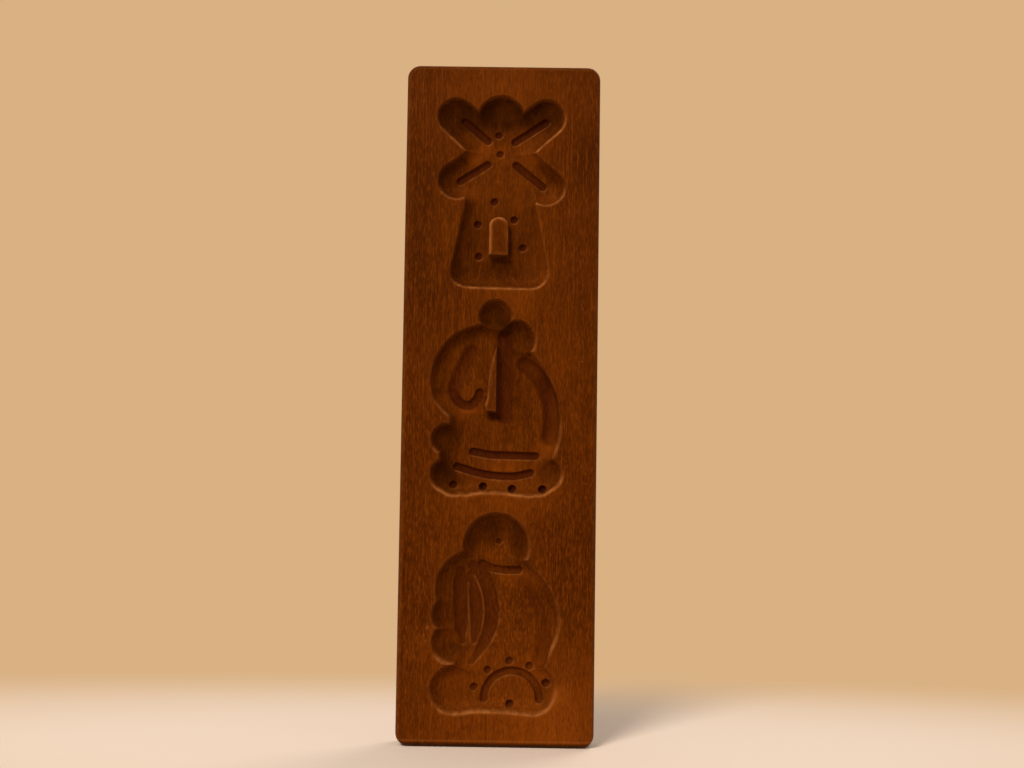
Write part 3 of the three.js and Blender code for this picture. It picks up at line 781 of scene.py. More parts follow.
def borderProfile():
    # Out from the lattice over the plain wood, round the front arris, along the side and round the back one:
    # distance out, depth from front to back, and wear.
    arris, flat = plank["arris"], plank["corner"] - plank["arris"]
    turn = np.linspace(0, np.pi / 2, plank["arrisSteps"] + 1)
    out = np.concatenate([[flat - plank["guard"]], flat + arris * np.sin(turn)])
    away = np.concatenate([[faceY], faceY + arris * (1 - np.cos(turn))])
    rubAndHighlight = np.concatenate([[0], plank["arrisWear"] * np.sin(2 * turn)])
    out, rubAndHighlight = (np.concatenate([half, half[::-1]]) for half in (out, rubAndHighlight))
    return out, np.concatenate([away, -away[::-1]]), rubAndHighlight


def ringBands(rings):
    # Quads between each closed ring of corner numbers and the next.
    following = np.roll(rings, -1, 1)
    return np.stack([rings[:-1], rings[1:], following[1:], following[:-1]], -1).reshape(-1, 4)


def carvedPlank():
    # The carved face, the sides as rings round it, the pilot hole as rings about its axis, and the back.
    x, z, depth, snapped, shades = carvedLattice()
    split = splitCells(depth, snapped, shades["knocked"])
    faces, counts, used = leafPolygons(split, depth)
    outer, base, turn = borderRing(used)
    number = np.cumsum(used.ravel()) - 1  # lattice corner to mesh corner
    corners = [np.stack([x, faceY + depth, z], -1)[used]]
    total = len(corners[0])
    outer = number[outer]
    faces, counts = [number[faces]], [counts]

    out, away, ringWear = borderProfile()
    ringSteps = len(base)
    baseX, baseZ = corners[0][outer[base], 0], corners[0][outer[base], 2]
    ring = np.stack([
        baseX + out[:, None] * np.cos(turn),
        np.repeat(away[:, None], ringSteps, 1),
        baseZ + out[:, None] * np.sin(turn),
    ], -1)
    corners.append(ring.reshape(-1, 3))
    backCorners = corners[0][outer].copy()
    backCorners[:, 1] = backY
    corners.append(backCorners)
    backStart = total + ring[..., 0].size
    sides = total + np.arange(ring[..., 0].size).reshape(len(out), -1)
    quads = ringBands(np.vstack([outer[base], sides, backStart + base]))
    startsShut, endsShut = quads[:, 0] == quads[:, 3], quads[:, 1] == quads[:, 2]
    whole = ~startsShut & ~endsShut
    faces += [quads[whole].ravel(), quads[startsShut][:, :3].ravel(), quads[endsShut][:, [0, 1, 3]].ravel()]
    counts += [np.full(whole.sum(), 4), np.full((~whole).sum(), 3)]

    # The hole's rings run from a flat one round its mouth to its floor, and the back has two halves round it.
    radius, steps, guard = plank["pilotRadius"], plank["pilotSteps"], plank["guard"]
    hole = np.array([
        (radius + 2 * guard, backY), (radius + guard, backY), (radius, backY),
        (radius, backY - guard), (radius, backY - plank["pilotDepth"]),
    ])
    angle = np.linspace(0, 2 * np.pi, steps, endpoint=False) - np.pi / 2
    holeStart = backStart + len(outer)
    corners.append(np.stack([
        hole[:, :1] * np.cos(angle),
        np.repeat(hole[:, 1:], steps, 1),
        plank["pilotHeight"] + hole[:, :1] * np.sin(angle),
    ], -1).reshape(-1, 3))
    holeRings = holeStart + np.arange(len(hole) * steps).reshape(len(hole), steps)
    bore = ringBands(holeRings)
    faces += [bore.ravel(), holeRings[-1][::-1]]
    counts += [np.full(len(bore), 4), np.array([steps])]
    bottomMiddle = cellsAcross // 2
    topMiddle = cellsAcross + cellsUp + cellsAcross // 2
    back = backStart + np.arange(len(outer))
    rightHalf = np.concatenate([back[bottomMiddle:topMiddle + 1], holeRings[0][:steps // 2 + 1][::-1]])
    leftHalf = np.concatenate([back[topMiddle:], back[:bottomMiddle + 1], holeRings[0][:1],
                               holeRings[0][steps // 2:][::-1]])
    faces += [rightHalf[::-1], leftHalf[::-1]]
    counts += [np.array([len(rightHalf)]), np.array([len(leftHalf)])]

    corners = np.vstack(corners)
    piece = meshPiece("carvedPlank", corners, np.concatenate(faces), np.concatenate(counts))
    for name, values in shades.items():
        border = np.zeros(len(corners) - total)
        if name == "rimWear":
            border[:len(ringWear) * ringSteps] = np.repeat(ringWear, ringSteps)
        setShade(piece, name, np.concatenate([values[used], border]))
    return piece


plankPiece = carvedPlank()
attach(plankPiece, "plank")
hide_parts("board")
triangles = sum(len(p.vertices) - 2 for p in plankPiece.data.polygons)
print("stage: carved plank,", len(plankPiece.data.vertices), "corners,", triangles, "triangles")


# Ring hanger: a strip folded over a wire ring's bar, and the screw that holds it.

hanger = {
    "pivotY": backY + 2.3,
    "pivotZ": 346.0,
    "wire": 0.9,
    "loopInner": 1.2,
    "strip": 0.8,
    "slit": 0.3,  # between the strip's two legs
    "joggle": 3.6,
    "strapWidth": 9.0,
    "strapLength": 15.0,
    "strapEdge": 0.16,
    "screwHole": 1.8,
    "ringHalfWidth": 6.8,
    "ringCorner": 2.2,
    "ringBow": 11.3,  # from the pivot down to the middle of the bow
    "buttGap": 0.3,
    "nip": 0.12,  # rounding of the wire's cut ends
    "wireSides": 20,
}

screw = {
    "height": 336.2,
    "seat": backY + 2.5,  # underside of the head
    "headRadius": 2.9,
    "headHeight": 1.75,
    "slotWidth": 0.8,
    "slotDepth": 0.9,
    "lip": 0.15,
    "neck": 1.4,
    "collar": 0.3,  # from the thread's end to the plain neck
    "edgeRound": 0.07,
    "shank": 1.5,
    "root": 1.05,
    "crest": 0.32,  # half width of the thread's flanks, as a share of the pitch
    "runOut": 0.35,  # how much of the thread's height the shank keeps where the thread ends
    "length": 9.8,
    "threadLength": 6.6,
    "pitch": 1.1,
    "tip": 2.6,
    "pointed": 0.8,  # power of the tip's taper: one is a cone
    "sides": 48,
}


def ringsToPiece(name, rings):
    # Rings of corners joined into a tube, with a disc at each end. A ring of no size closes to a point.
    count, sides = rings.shape[:2]
    number = np.arange(count * sides).reshape(count, sides)
    quads = ringBands(number)
    faces = np.concatenate([quads.ravel(), number[0], number[-1][::-1]])
    counts = np.concatenate([np.full(len(quads), 4), [sides, sides]])
    piece = meshPiece(name, rings.reshape(-1, 3), faces, counts)
    outwards(piece)
    return piece


def outwards(piece):
    # Merges what lies in one place, and turns every face outwards.
    work = bmesh.new()
    work.from_mesh(piece.data)
    bmesh.ops.remove_doubles(work, verts=work.verts, dist=0.0005 * mm)
    bmesh.ops.recalc_face_normals(work, faces=work.faces)
    work.to_mesh(piece.data)
    work.free()


def applied(piece, *modifiers):
    # Runs modifiers at once, so that the piece keeps a plain mesh.
    for kind, settings in modifiers:
        modifier = piece.modifiers.new(kind.title(), kind)
        for setting, value in settings.items():
            setattr(modifier, setting, value)
    bpy.context.view_layer.update()
    seen = piece.evaluated_get(bpy.context.evaluated_depsgraph_get())
    old, piece.data = piece.data, bpy.data.meshes.new_from_object(seen)
    piece.modifiers.clear()
    bpy.data.meshes.remove(old)
    piece.data.name = piece.name


def turnedBar(name, radii, depths, height, sides):
    # A section turned about a line along Y: each ring is its radius times (cos, sin) of the turn.
    turn = np.linspace(0, 2 * np.pi, sides, endpoint=False)
    radii = np.broadcast_to(radii, (len(depths), sides))
    return ringsToPiece(name, np.stack([
        radii * np.cos(turn), np.repeat(depths[:, None], sides, 1), height + radii * np.sin(turn)
    ], -1))


def hangerRing():
    # A round wire along straight lines and arcs: from the bar's middle down the right leg, round the bow and
    # up the left leg. Each ring is the path plus the radius times (cos normal + sin crossways).
    half, corner = hanger["ringHalfWidth"], hanger["ringCorner"]
    bow, gap = hanger["ringBow"], hanger["buttGap"] / 2
    bar = np.concatenate([[gap], np.linspace(gap + hanger["nip"], half - corner, 5, endpoint=False)])
    turn = np.linspace(np.pi / 2, 0, 9)
    leg = np.linspace(-corner, -bow, 8)[1:-1]
    swing = np.linspace(0, -np.pi / 2, 17)
    right = np.vstack([
        np.stack([bar, 0 * bar], 1),
        np.stack([half - corner + corner * np.cos(turn), corner * np.sin(turn) - corner], 1),
        np.stack([np.full(len(leg), half), leg], 1),
        np.stack([half * np.cos(swing), half * np.sin(swing) - bow], 1),
    ])
    path = np.vstack([right, right[-2::-1] * (-1, 1)])
    along = np.gradient(path, axis=0)
    along /= np.linalg.norm(along, axis=1)[:, None]
    radius = np.full(len(path), hanger["wire"])
    radius[[0, -1]] -= hanger["nip"]
    turn = np.linspace(0, 2 * np.pi, hanger["wireSides"], endpoint=False)
    reach = radius[:, None] * np.cos(turn)
    return ringsToPiece("hangerRing", np.stack([
        path[:, :1] + reach * along[:, 1:],
        hanger["pivotY"] + radius[:, None] * np.sin(turn),
        hanger["pivotZ"] + path[:, 1:] - reach * along[:, :1],
    ], -1))


def hangerStrap():
    # The strip's middle surface: a grid across (u) and along, up the back leg, over the loop, eased in to the
    # front leg and down it. At both ends the grid is a square's half pressed into a half disc:
    # x = u sqrt(1 - v^2 / 2), height = v sqrt(1 - u^2 / 2).
    half, length, joggle = hanger["strapWidth"] / 2, hanger["strapLength"], hanger["joggle"]
    loop = hanger["loopInner"] + hanger["strip"] / 2
    frontLeg = hanger["strip"] + hanger["slit"] - loop
    u = np.linspace(-1, 1, 15)[None]
    v = np.linspace(-1, 0, 8)[:-1, None]
    endAcross = half * u * np.sqrt(1 - v**2 / 2)
    endHeight = half * (1 + v * np.sqrt(1 - u**2 / 2)) - length
    turn = np.linspace(np.pi, 0, 25)
    ease = np.linspace(0, 1, 13)[1:]
    leg = np.linspace(half - length, 0, 14)[:-1]
    lowerLeg = np.linspace(-joggle, half - length, 9)[1:]
    height = np.concatenate([leg, loop * np.sin(turn), -joggle * ease, lowerLeg])[:, None]
    out = np.concatenate([
        np.full(len(v), -loop), np.full(len(leg), -loop), loop * np.cos(turn),
        loop + (frontLeg - loop) * ease**2 * (3 - 2 * ease), np.full(len(lowerLeg) + len(v), frontLeg),
    ])[:, None]
    grid = np.stack([
        np.vstack([endAcross, half * u + 0 * height, endAcross[::-1]]),
        hanger["pivotY"] + out + 0 * u,
        hanger["pivotZ"] + np.vstack([endHeight, height + 0 * u, endHeight[::-1]]),
    ], -1)
    rows, columns = grid.shape[:2]
    number = np.arange(rows * columns).reshape(rows, columns)
    quads = np.stack([number[:-1, :-1], number[1:, :-1], number[1:, 1:], number[:-1, 1:]], -1).reshape(-1, 4)
    piece = meshPiece("hangerStrap", grid.reshape(-1, 3), quads.ravel(), np.full(len(quads), 4))
    drill = turnedBar("drill", hanger["screwHole"], np.array([backY - 1, backY + 4]), screw["height"], 40)
    applied(piece, ("SOLIDIFY", {"thickness": hanger["strip"] * mm, "offset": 0, "use_even_offset": True}))
    outwards(piece)
    applied(piece, ("BOOLEAN", {"operation": "DIFFERENCE", "object": drill, "solver": "EXACT"}))
    applied(piece, ("BEVEL", {
        "width": hanger["strapEdge"] * mm, "segments": 3,
        "limit_method": "ANGLE", "angle_limit": math.radians(50), "harden_normals": True,
    }))
    bpy.data.objects.remove(drill)
    return piece


def hangerScrew():
    # Turned about Y: a tapering shank whose radius rises to a sharp crest once a pitch and turn, a plain neck
    # and a round head whose height falls off as an ellipse's does.
    sides = screw["sides"]
    turn = np.linspace(0, 2 * np.pi, sides, endpoint=False)
    back = np.linspace(-screw["length"], screw["threadLength"] - screw["length"], 97)[:, None]
    taper = np.clip((back + screw["length"]) / screw["tip"], 0, 1) ** screw["pointed"]
    phase = (back / screw["pitch"] - turn / (2 * np.pi)) % 1
    crest = np.clip(1 - np.abs(phase - 0.5) / screw["crest"], 0, 1)
    fade = np.clip((back[-1] - back) / screw["pitch"], 0, 1)
    raised = crest * fade + screw["runOut"] * (1 - fade)
    thread = taper * (screw["root"] + (screw["shank"] - screw["root"]) * raised)
    lift = np.linspace(0, np.pi / 2, 15)
    head, lip = screw["headRadius"], screw["lip"]
    plain = np.vstack([
        [[screw["neck"], back[-1, 0] + screw["collar"]], [screw["neck"], 0], [head - lip, 0]],
        np.stack([head * np.cos(lift), lip + (screw["headHeight"] - lip) * np.sin(lift)], 1),
    ])
    radii = np.vstack([thread, np.repeat(plain[:, :1], sides, 1)])
    depths = np.concatenate([back[:, 0], plain[:, 1]]) + screw["seat"]
    piece = turnedBar("hangerScrew", radii, depths, screw["height"], sides)
    reach = (2 * head, screw["slotDepth"], screw["slotWidth"] / 2)
    cutter = np.array([(i, j, k) for i in (-1, 1) for j in (-1, 1) for k in (-1, 1)]) * reach
    cutter += (0, screw["seat"] + screw["headHeight"], screw["height"])
    cutterSides = [0, 1, 3, 2, 4, 6, 7, 5, 0, 4, 5, 1, 2, 3, 7, 6, 0, 2, 6, 4, 1, 5, 7, 3]
    slot = meshPiece("slotCutter", cutter, cutterSides, [4] * 6, smooth=False)
    outwards(slot)
    applied(piece, ("BOOLEAN", {"operation": "DIFFERENCE", "object": slot, "solver": "EXACT"}))
    applied(piece, ("BEVEL", {
        "width": screw["edgeRound"] * mm, "segments": 2,
        "limit_method": "ANGLE", "angle_limit": math.radians(60), "harden_normals": True,
    }))
    bpy.data.objects.remove(slot)
    return piece


for make, body, node, finish in (
    (hangerStrap, "plank", "hanger_strap", "brass_strip"),
    (hangerRing, "ring", "hanger_ring", "brass_wire"),
    (hangerScrew, "plank", "hanger_screw", "brass_screw"),
):
    piece = make()
    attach(piece, body)
    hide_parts(node)
    print("stage:", piece.name, len(piece.data.polygons), "faces")


# Finishes

def linear(hexColour, alpha=1.0):
    # sRGB hex to linear light.
    parts = [int(hexColour[i:i + 2], 16) / 255 for i in (1, 3, 5)]
    return (*(c / 12.92 if c <= 0.04045 else ((c + 0.055) / 1.055) ** 2.4 for c in parts), alpha)


def addNode(tree, kind, inputs=None, **settings):
    # One node with its settings, and values or links for its inputs.
    node = tree.nodes.new(kind)
    for setting, value in settings.items():
        setattr(node, setting, value)
    for socket, value in (inputs or {}).items():
        if isinstance(value, bpy.types.NodeSocket):
            tree.links.new(value, node.inputs[socket])
        else:
            node.inputs[socket].default_value = value
    return node


def newMaterial(name, noises=None):
    # A principled shader, the place on the object in millimetres, and noises by name, each from the width
    # and length of its grains in millimetres, its detail, roughness and shift.
    material = bpy.data.materials.new(name)
    material.use_nodes = True
    tree = material.node_tree
    tree.nodes.clear()
    shader = addNode(tree, "ShaderNodeBsdfPrincipled")
    addNode(tree, "ShaderNodeOutputMaterial", {"Surface": shader.outputs[0]})
    place = addNode(tree, "ShaderNodeTexCoord").outputs["Object"]
    place = addNode(tree, "ShaderNodeMapping", {"Vector": place, "Scale": [1 / mm] * 3}).outputs[0]
    made = {}
    for noise, (across, along, detail, roughness, shift) in (noises or {}).items():
        moved = addNode(tree, "ShaderNodeMapping", {
            "Vector": place, "Location": shift, "Scale": (1 / across, 1 / across, 1 / along),
        })
        made[noise] = addNode(tree, "ShaderNodeTexNoise", {
            "Vector": moved.outputs[0], "Scale": 1.0, "Detail": detail, "Roughness": roughness,
        }).outputs["Fac"]
    return material, tree, shader, place, made


beech = {
    "colours": {
        "mid": "#582700",
        "dark": "#401800",
        "deep": "#1d0800",
        "warm": "#783806",
        "bright": "#90460e",
        "purple": "#300b04",
        "pale": "#a3622f",
    },
    "noises": {  # width and length of the grains, detail, roughness and shift
        "blotch": (9, 24, 3.0, 0.6, (2, 5, 3)),
        "broad": (40, 120, 1.0, 0.5, (8, 1, 6)),
        "streak": (0.9, 30, 2.0, 0.6, (3, 1, 2)),
        "fibre": (0.7, 4, 2.0, 0.6, (7, 5, 1)),
        "fleck": (0.8, 2.6, 1.0, 0.5, (1, 9, 4)),
        "patchy": (4, 8, 2.0, 0.5, (2, 2, 8)),
        "speck": (0.9, 3.2, 4.0, 0.7, (4, 3, 9)),
        "calm": (22, 30, 1.0, 0.5, (5, 7, 2)),
    },
    "pith": (-35, -62, 0),  # the middle of the growth rings, behind the plank and to one side
    "pithTilt": (0.03, 0.02, 0),
    "ringSpacing": 3.1,
    "satin": (0.48, 0.6),  # roughness of the waxed wood
    "dullest": 0.9,  # and where old stain lies thick
    "shine": 0.14,  # the wax's specular level, little of it over a dark stain
    "shineColour": "#ff9a46",
    "relief": 0.05,  # height of the grain
    "reliefStrength": 0.3,

    # Layers on the dark colour, from the first to the last: colour, strength, and what it goes by, each with
    # the values where it starts and is whole, and the share that is left before the start. A pair is a spot
    # on the face, and what counts is the distance to it.
    "layers": [
        ("mid", 1, ("blotch", 0.3, 0.66)),
        ("warm", 0.3, ("broad", 0.4, 0.7)),
        # Its top and long edges are darkest, as painted shade. The stain has worn thin and warm at the foot
        # and in patches.
        ("dark", 0.55, ("sideways", 24, 44)),
        ("dark", 0.5, ("up", 300, 360)),
        ("deep", 0.22, ("up", 354, 362)),
        ("warm", 0.85, ((16, 4), 85, 0)),
        ("bright", 0.3, ((32, 8), 32, 0)),
        ("bright", 0.45, ((33, 27), 9, 0)),
        ("warm", 0.6, ((12, 128), 34, 0)),
        ("warm", 0.3, ((4, 362), 60, 0)),
        ("warm", 0.4, ((6, 241), 16, 0)),
        ("warm", 0.3, ((-41, 54), 13, 0)),
        ("dark", 0.85, ((33, 108), 36, 0)),
        ("dark", 0.35, ((-28, 116), 18, 0)),
        ("dark", 0.4, ((-36, 160), 40, 0)),
        ("dark", 0.85, ((-38, 240), 36, 0)),
        ("dark", 0.5, ((40, 248), 22, 0)),
        ("dark", 0.7, ((-38, 312), 26, 0)),
        ("dark", 0.75, ((42, 314), 24, 0)),
        ("dark", 0.55, ((44, 74), 28, 0)),
        ("deep", 0.33, ((-44, 275), 85, 0), ("sideways", 30, 42)),
        ("deep", 0.33, ((44, 318), 28, 0), ("sideways", 28, 40)),
        # Fine grain over that: long streaks, short fibres, and flecks that are strongest low down.
        ("dark", 0.4, ("calm", 0.35, 0.6, 0.4), ("streak", 0.55, 0.75)),
        ("bright", 0.4, ("calm", 0.35, 0.6, 0.4), ("streak", 0.45, 0.25)),
        ("deep", 0.25, ("fibre", 0.5, 0.72)),
        ("bright", 0.25, ("fibre", 0.5, 0.28)),
        ("deep", 0.28, ("up", 300, 120, 0.2), ("fleck", 0.55, 0.75)),
        ("bright", 0.25, ("up", 300, 120, 0.2), ("fleck", 0.45, 0.25)),
        # The lower arris is painted dark as the shadow where it stands on the floor, with a painted highlight
        # line above.
        ("deep", 0.95, ("up", 2.9, 1.6)),
        ("pale", 0.22, ("up", 4.2, 3.4), ("up", 2.8, 3.2)),
        # Growth rings, clearest on the end grain, which is darker but for the ends of the pockets.
        ("deep", 0.5, ("endGrain", 0.55, 0.95, 0.24), ("rings", 0, 1)),
        ("deep", 0.4, ("endGrain", 0.55, 0.95), ("grime", 0.05, 0)),
        # Pockets worn through in specks, old stain and painted shade that lie in them, patches of paler wear
        # and painted light, old stain in the cuts, and rubbed rims with a painted highlight.
        ("bright", 0.75, ("speck", 0.52, 0.64), ("worn", 0, 1)),
        ("deep", 0.4, ("speck", 0.46, 0.34), ("worn", 0, 1)),
        ("deep", 0.5, ("patchy", 0.35, 0.62, 0.5), ("grime", 0, 1)),
        ("deep", 0.8, ("patchy", 0.35, 0.62, 0.65), ("stain", 0, 1)),
        ("deep", 0.33, ("stain", 0.6, 1)),
        ("warm", 0.9, ("patchy", 0.35, 0.62, 0.5), ("stain", 0, -1)),
        ("purple", 0.85, ("residue", 0, 1)),
        ("pale", 0.85, ("patchy", 0.6, 0.38, 0.45), ("rimWear", 0, 1)),
        ("pale", 0.7, ("knocked", 0, 1)),
        ("deep", 0.9, ("knocked", 0, -1)),
    ],
}


def stainedBeech():
    # Steamed beech, planed and routed, stained red brown and waxed: fine short grain with darker flecks,
    # growth rings that show on the end grain, old stain and painted shade in the coves, old stain in the
    # cuts, rims rubbed to paler wood with a painted highlight where they face the light, painted shade along
    # the top and long edges, and a painted shadow and highlight at the foot.
    material, tree, shader, place, drivers = newMaterial("stainedBeech", beech["noises"])
    where = addNode(tree, "ShaderNodeSeparateXYZ", {0: place})
    normal = addNode(tree, "ShaderNodeTexCoord").outputs["Normal"]
    normal = addNode(tree, "ShaderNodeSeparateXYZ", {0: normal})
    drivers["up"] = where.outputs["Z"]
    for name, signed in (("sideways", where.outputs["X"]), ("endGrain", normal.outputs["Z"])):
        drivers[name] = addNode(tree, "ShaderNodeMath", {0: signed}, operation="ABSOLUTE").outputs[0]
    for name in ("grime", "stain", "worn", "residue", "rimWear", "knocked"):
        drivers[name] = addNode(tree, "ShaderNodeAttribute", attribute_name=name).outputs["Fac"]
    pith = addNode(tree, "ShaderNodeMapping", {
        "Vector": place, "Location": beech["pith"], "Rotation": beech["pithTilt"],
    })
    drivers["rings"] = addNode(tree, "ShaderNodeTexWave", {  # at scale 1 its rings are 0.314 apart
        "Vector": pith.outputs[0], "Scale": 0.314 / beech["ringSpacing"],
        "Distortion": 1.6, "Detail": 2.0, "Detail Scale": 0.4,
    }, wave_type="RINGS", rings_direction="Z", wave_profile="SAW").outputs["Fac"]

    base = linear(beech["colours"]["dark"])
    for colour, strength, *shares in beech["layers"]:
        amount = strength
        for driver, low, high, *floor in shares:
            if isinstance(driver, tuple):
                spot = {0: place, 1: (driver[0], faceY, driver[1])}
                away = addNode(tree, "ShaderNodeVectorMath", spot, operation="DISTANCE")
                drivers[driver] = away.outputs["Value"]
            amount = addNode(tree, "ShaderNodeMapRange", {
                "Value": drivers[driver], "From Min": low, "From Max": high,
                "To Min": floor[0] * amount if floor else 0.0, "To Max": amount,
            }).outputs[0]
        mix = {0: amount, 6: base, 7: linear(beech["colours"][colour])}
        base = addNode(tree, "ShaderNodeMix", mix, data_type="RGBA").outputs[2]
    tree.links.new(base, shader.inputs["Base Color"])

    low, high = beech["satin"]
    rough = addNode(tree, "ShaderNodeMapRange", {
        "Value": drivers["fibre"], "From Min": 0.3, "From Max": 0.7, "To Min": low, "To Max": high,
    }).outputs[0]
    for name in ("residue", "grime", "stain"):
        dull = {"Value": drivers[name], "To Min": rough, "To Max": beech["dullest"]}
        rough = addNode(tree, "ShaderNodeMapRange", dull).outputs[0]
    tree.links.new(rough, shader.inputs["Roughness"])
    shader.inputs["IOR"].default_value = 1.5
    shader.inputs["Specular IOR Level"].default_value = beech["shine"]
    shader.inputs["Specular Tint"].default_value = linear(beech["shineColour"])
    grain = addNode(tree, "ShaderNodeMath", {0: drivers["fibre"], 1: drivers["fleck"]}, operation="ADD")
    bump = addNode(tree, "ShaderNodeBump", {
        "Height": grain.outputs[0], "Strength": beech["reliefStrength"], "Distance": beech["relief"] * mm,
    })
    tree.links.new(bump.outputs[0], shader.inputs["Normal"])
    return material


brass = {
    "tarnish": (2.5, 3.5, 3.0, 0.6, (0, 0, 0)),  # as the wood's noises
    "tarnished": "#7a5a2c",
    "tarnishStrength": 0.6,
    "tarnishRoughness": 0.18,  # how much rougher it is there
    "relief": 0.02,
    "finishes": {  # name, colour, roughness, width and length of the grain, and its strength
        "hangerStrap": ("pressedBrassStrip", "#b8964f", 0.34, (0.12, 4), 0.35),
        "hangerRing": ("drawnBrassWire", "#c09d55", 0.26, (0.1, 2), 0.2),
        "hangerScrew": ("turnedBrassScrew", "#bd9a50", 0.24, (0.1, 0.1), 0.15),
    },
}


def yellowBrass(name, colour, roughness, grainSize, strength):
    # Yellow brass: metallic, with a fine drawn or rolled grain and a slight brown tarnish in patches.
    material, tree, shader, _, noises = newMaterial(name, {
        "tarnish": brass["tarnish"], "grain": (*grainSize, 2.0, 0.5, (0, 0, 0)),
    })
    brown = addNode(tree, "ShaderNodeMapRange", {
        "Value": noises["tarnish"], "From Min": 0.45, "From Max": 0.75, "To Max": brass["tarnishStrength"],
    })
    base = {0: brown.outputs[0], 6: linear(colour), 7: linear(brass["tarnished"])}
    base = addNode(tree, "ShaderNodeMix", base, data_type="RGBA").outputs[2]
    tree.links.new(base, shader.inputs["Base Color"])
    rough = addNode(tree, "ShaderNodeMapRange", {
        "Value": noises["tarnish"], "From Min": 0.3, "From Max": 0.7,
        "To Min": roughness, "To Max": roughness + brass["tarnishRoughness"],
    })
    tree.links.new(rough.outputs[0], shader.inputs["Roughness"])
    shader.inputs["Metallic"].default_value = 1.0
    bump = addNode(tree, "ShaderNodeBump", {
        "Height": noises["grain"], "Strength": strength, "Distance": brass["relief"] * mm,
    })
    tree.links.new(bump.outputs[0], shader.inputs["Normal"])
    return material


finishes = {"carvedPlank": stainedBeech()}
finishes.update({pieceName: yellowBrass(*values) for pieceName, values in brass["finishes"].items()})
for pieceName, material in finishes.items():
    bpy.data.objects[pieceName].data.materials.clear()
    bpy.data.objects[pieceName].data.materials.append(material)
print("stage: finishes")


# Floor, light and camera

studio = {
    "floorSize": 6000,  # millimetres
    "nearFloor": "#f6e4d4",
    "backdrop": "#d9b183",
    "paleReach": (70, 300),  # how far behind the plank the pale floor starts and ends its change
    "paleStretch": 2.5,  # and how much further out that is on the left and right
    "fill": 0.3,
    "lamps": {  # watts, distance and size in metres, the way it lies from the aim, and its colour
        "keyLamp": (84.0, 3.2, 1.1, (-0.33, -0.72, 0.62), "#fff5e8"),
        "backLamp": (26.0, 3.0, 1.8, (0.5, 0.75, 0.75), "#fff5e8"),
    },
    "aim": (0, 0, 0.19),
}


def plainRays(tree):
    # One for what the camera, a mirror or a glass sees, and nought for light on its way to the object.
    rays = addNode(tree, "ShaderNodeLightPath")
    plain = rays.outputs["Is Camera Ray"]
    for other in ("Is Glossy Ray", "Is Transmission Ray"):
        either = {0: plain, 1: rays.outputs[other]}
        plain = addNode(tree, "ShaderNodeMath", either, operation="MAXIMUM").outputs[0]
    return plain


def paleFloor():
    # Painted pale near the plank. Further out, what the camera and the metal see of it turns in to the
    # backdrop's own colour, so that no horizon shows.
    material, tree, shader, place, _ = newMaterial("paleFloor")
    pool = addNode(tree, "ShaderNodeMapping", {"Vector": place, "Scale": (1 / studio["paleStretch"], 1, 1)})
    away = addNode(tree, "ShaderNodeVectorMath", {0: pool.outputs[0]}, operation="LENGTH").outputs["Value"]
    away = addNode(tree, "ShaderNodeMapRange", {
        "Value": away, "From Min": studio["paleReach"][0], "From Max": studio["paleReach"][1],
    }, interpolation_type="SMOOTHSTEP").outputs[0]
    shader.inputs["Base Color"].default_value = linear(studio["nearFloor"])
    shader.inputs["Roughness"].default_value = 0.8
    shader.inputs["Specular IOR Level"].default_value = 0.2
    far = addNode(tree, "ShaderNodeEmission", {"Color": linear(studio["backdrop"]), "Strength": 1.0})
    away = addNode(tree, "ShaderNodeMath", {0: away, 1: plainRays(tree)}, operation="MULTIPLY").outputs[0]
    mixed = addNode(tree, "ShaderNodeMixShader", {0: away, 1: shader.outputs[0], 2: far.outputs[0]})
    output = next(node for node in tree.nodes if node.type == "OUTPUT_MATERIAL")
    tree.links.new(mixed.outputs[0], output.inputs["Surface"])
    half = studio["floorSize"] / 2
    corners = [(-half, -half, 0), (half, -half, 0), (half, half, 0), (-half, half, 0)]
    floor = meshPiece("paleFloor", corners, [0, 1, 2, 3], [4], smooth=False)
    floor.data.materials.append(material)


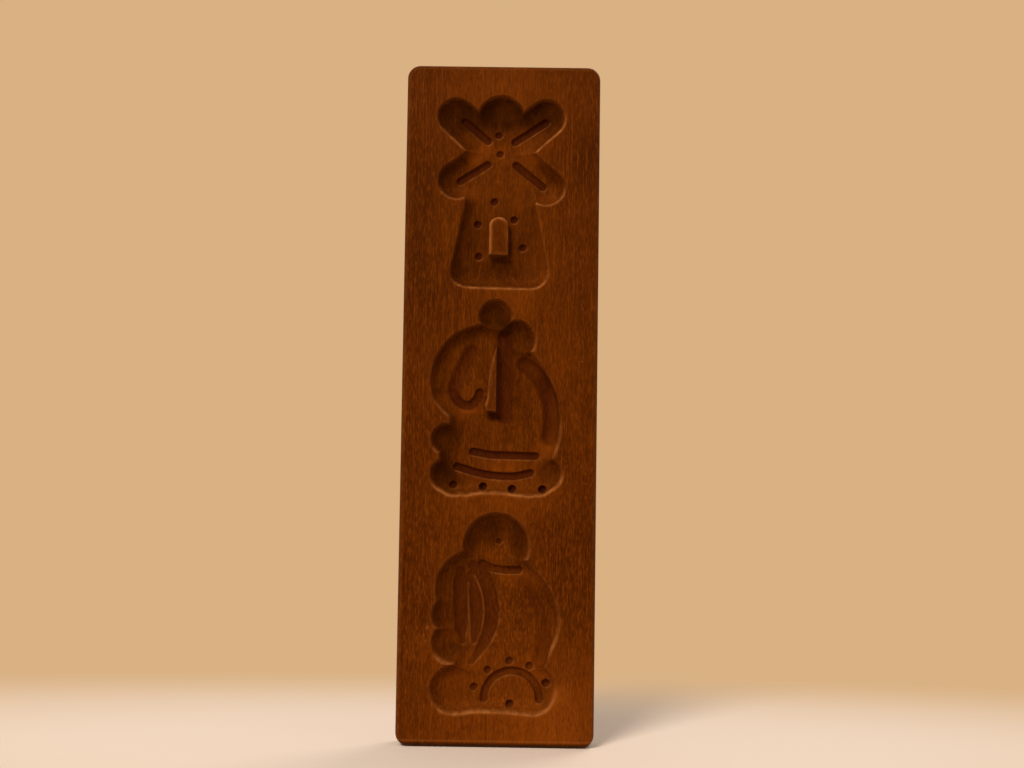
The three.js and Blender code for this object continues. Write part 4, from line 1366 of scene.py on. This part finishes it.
def areaLamps():
    # Round lamps, each at its distance from the aim and turned to it.
    for name, (power, away, size, direction, colour) in studio["lamps"].items():
        lamp = bpy.data.lights.new(name, "AREA")
        lamp.shape = "DISK"
        lamp.size = size
        lamp.energy = power
        lamp.color = linear(colour)[:3]
        thing = bpy.data.objects.new(name, lamp)
        outward = Vector(direction).normalized()
        thing.location = Vector(studio["aim"]) + away * outward
        thing.rotation_euler = outward.to_track_quat("Z", "Y").to_euler()
        bpy.context.scene.collection.objects.link(thing)


def backdrop():
    # Dim warm light all round, and the backdrop's colour for what is seen.
    world = bpy.data.worlds.new("backdrop")
    bpy.context.scene.world = world
    world.use_nodes = True
    tree = world.node_tree
    tree.nodes.clear()
    fill = addNode(tree, "ShaderNodeBackground", {"Color": linear("#fff8f0"), "Strength": studio["fill"]})
    seen = addNode(tree, "ShaderNodeBackground", {"Color": linear(studio["backdrop"]), "Strength": 1.0})
    shown = addNode(tree, "ShaderNodeMixShader", {0: plainRays(tree), 1: fill.outputs[0], 2: seen.outputs[0]})
    addNode(tree, "ShaderNodeOutputWorld", {"Surface": shown.outputs[0]})


camera = {
    "place": (0.01027, -0.7709, 0.1401),
    "lens": 50.0,
    "tiltUp": 3.933,  # degrees, with the two below
    "turnLeft": 0.271,
    "roll": 0.824,
}


def photoCamera():
    data = bpy.data.cameras.new("photoCamera")
    data.lens = camera["lens"]
    data.sensor_width = 36.0
    data.clip_start, data.clip_end = 0.01, 50
    thing = bpy.data.objects.new("photoCamera", data)
    turn = Matrix.Rotation(math.radians(camera["turnLeft"]), 4, "Z")
    tilt = Matrix.Rotation(math.radians(90 + camera["tiltUp"]), 4, "X")
    roll = Matrix.Rotation(math.radians(camera["roll"]), 4, "Z")
    thing.matrix_world = Matrix.Translation(camera["place"]) @ turn @ tilt @ roll
    bpy.context.scene.collection.objects.link(thing)
    bpy.context.scene.camera = thing


paleFloor()
areaLamps()
backdrop()
photoCamera()
bpy.context.scene.view_settings.view_transform = "Standard"
print("stage: floor, light and camera")
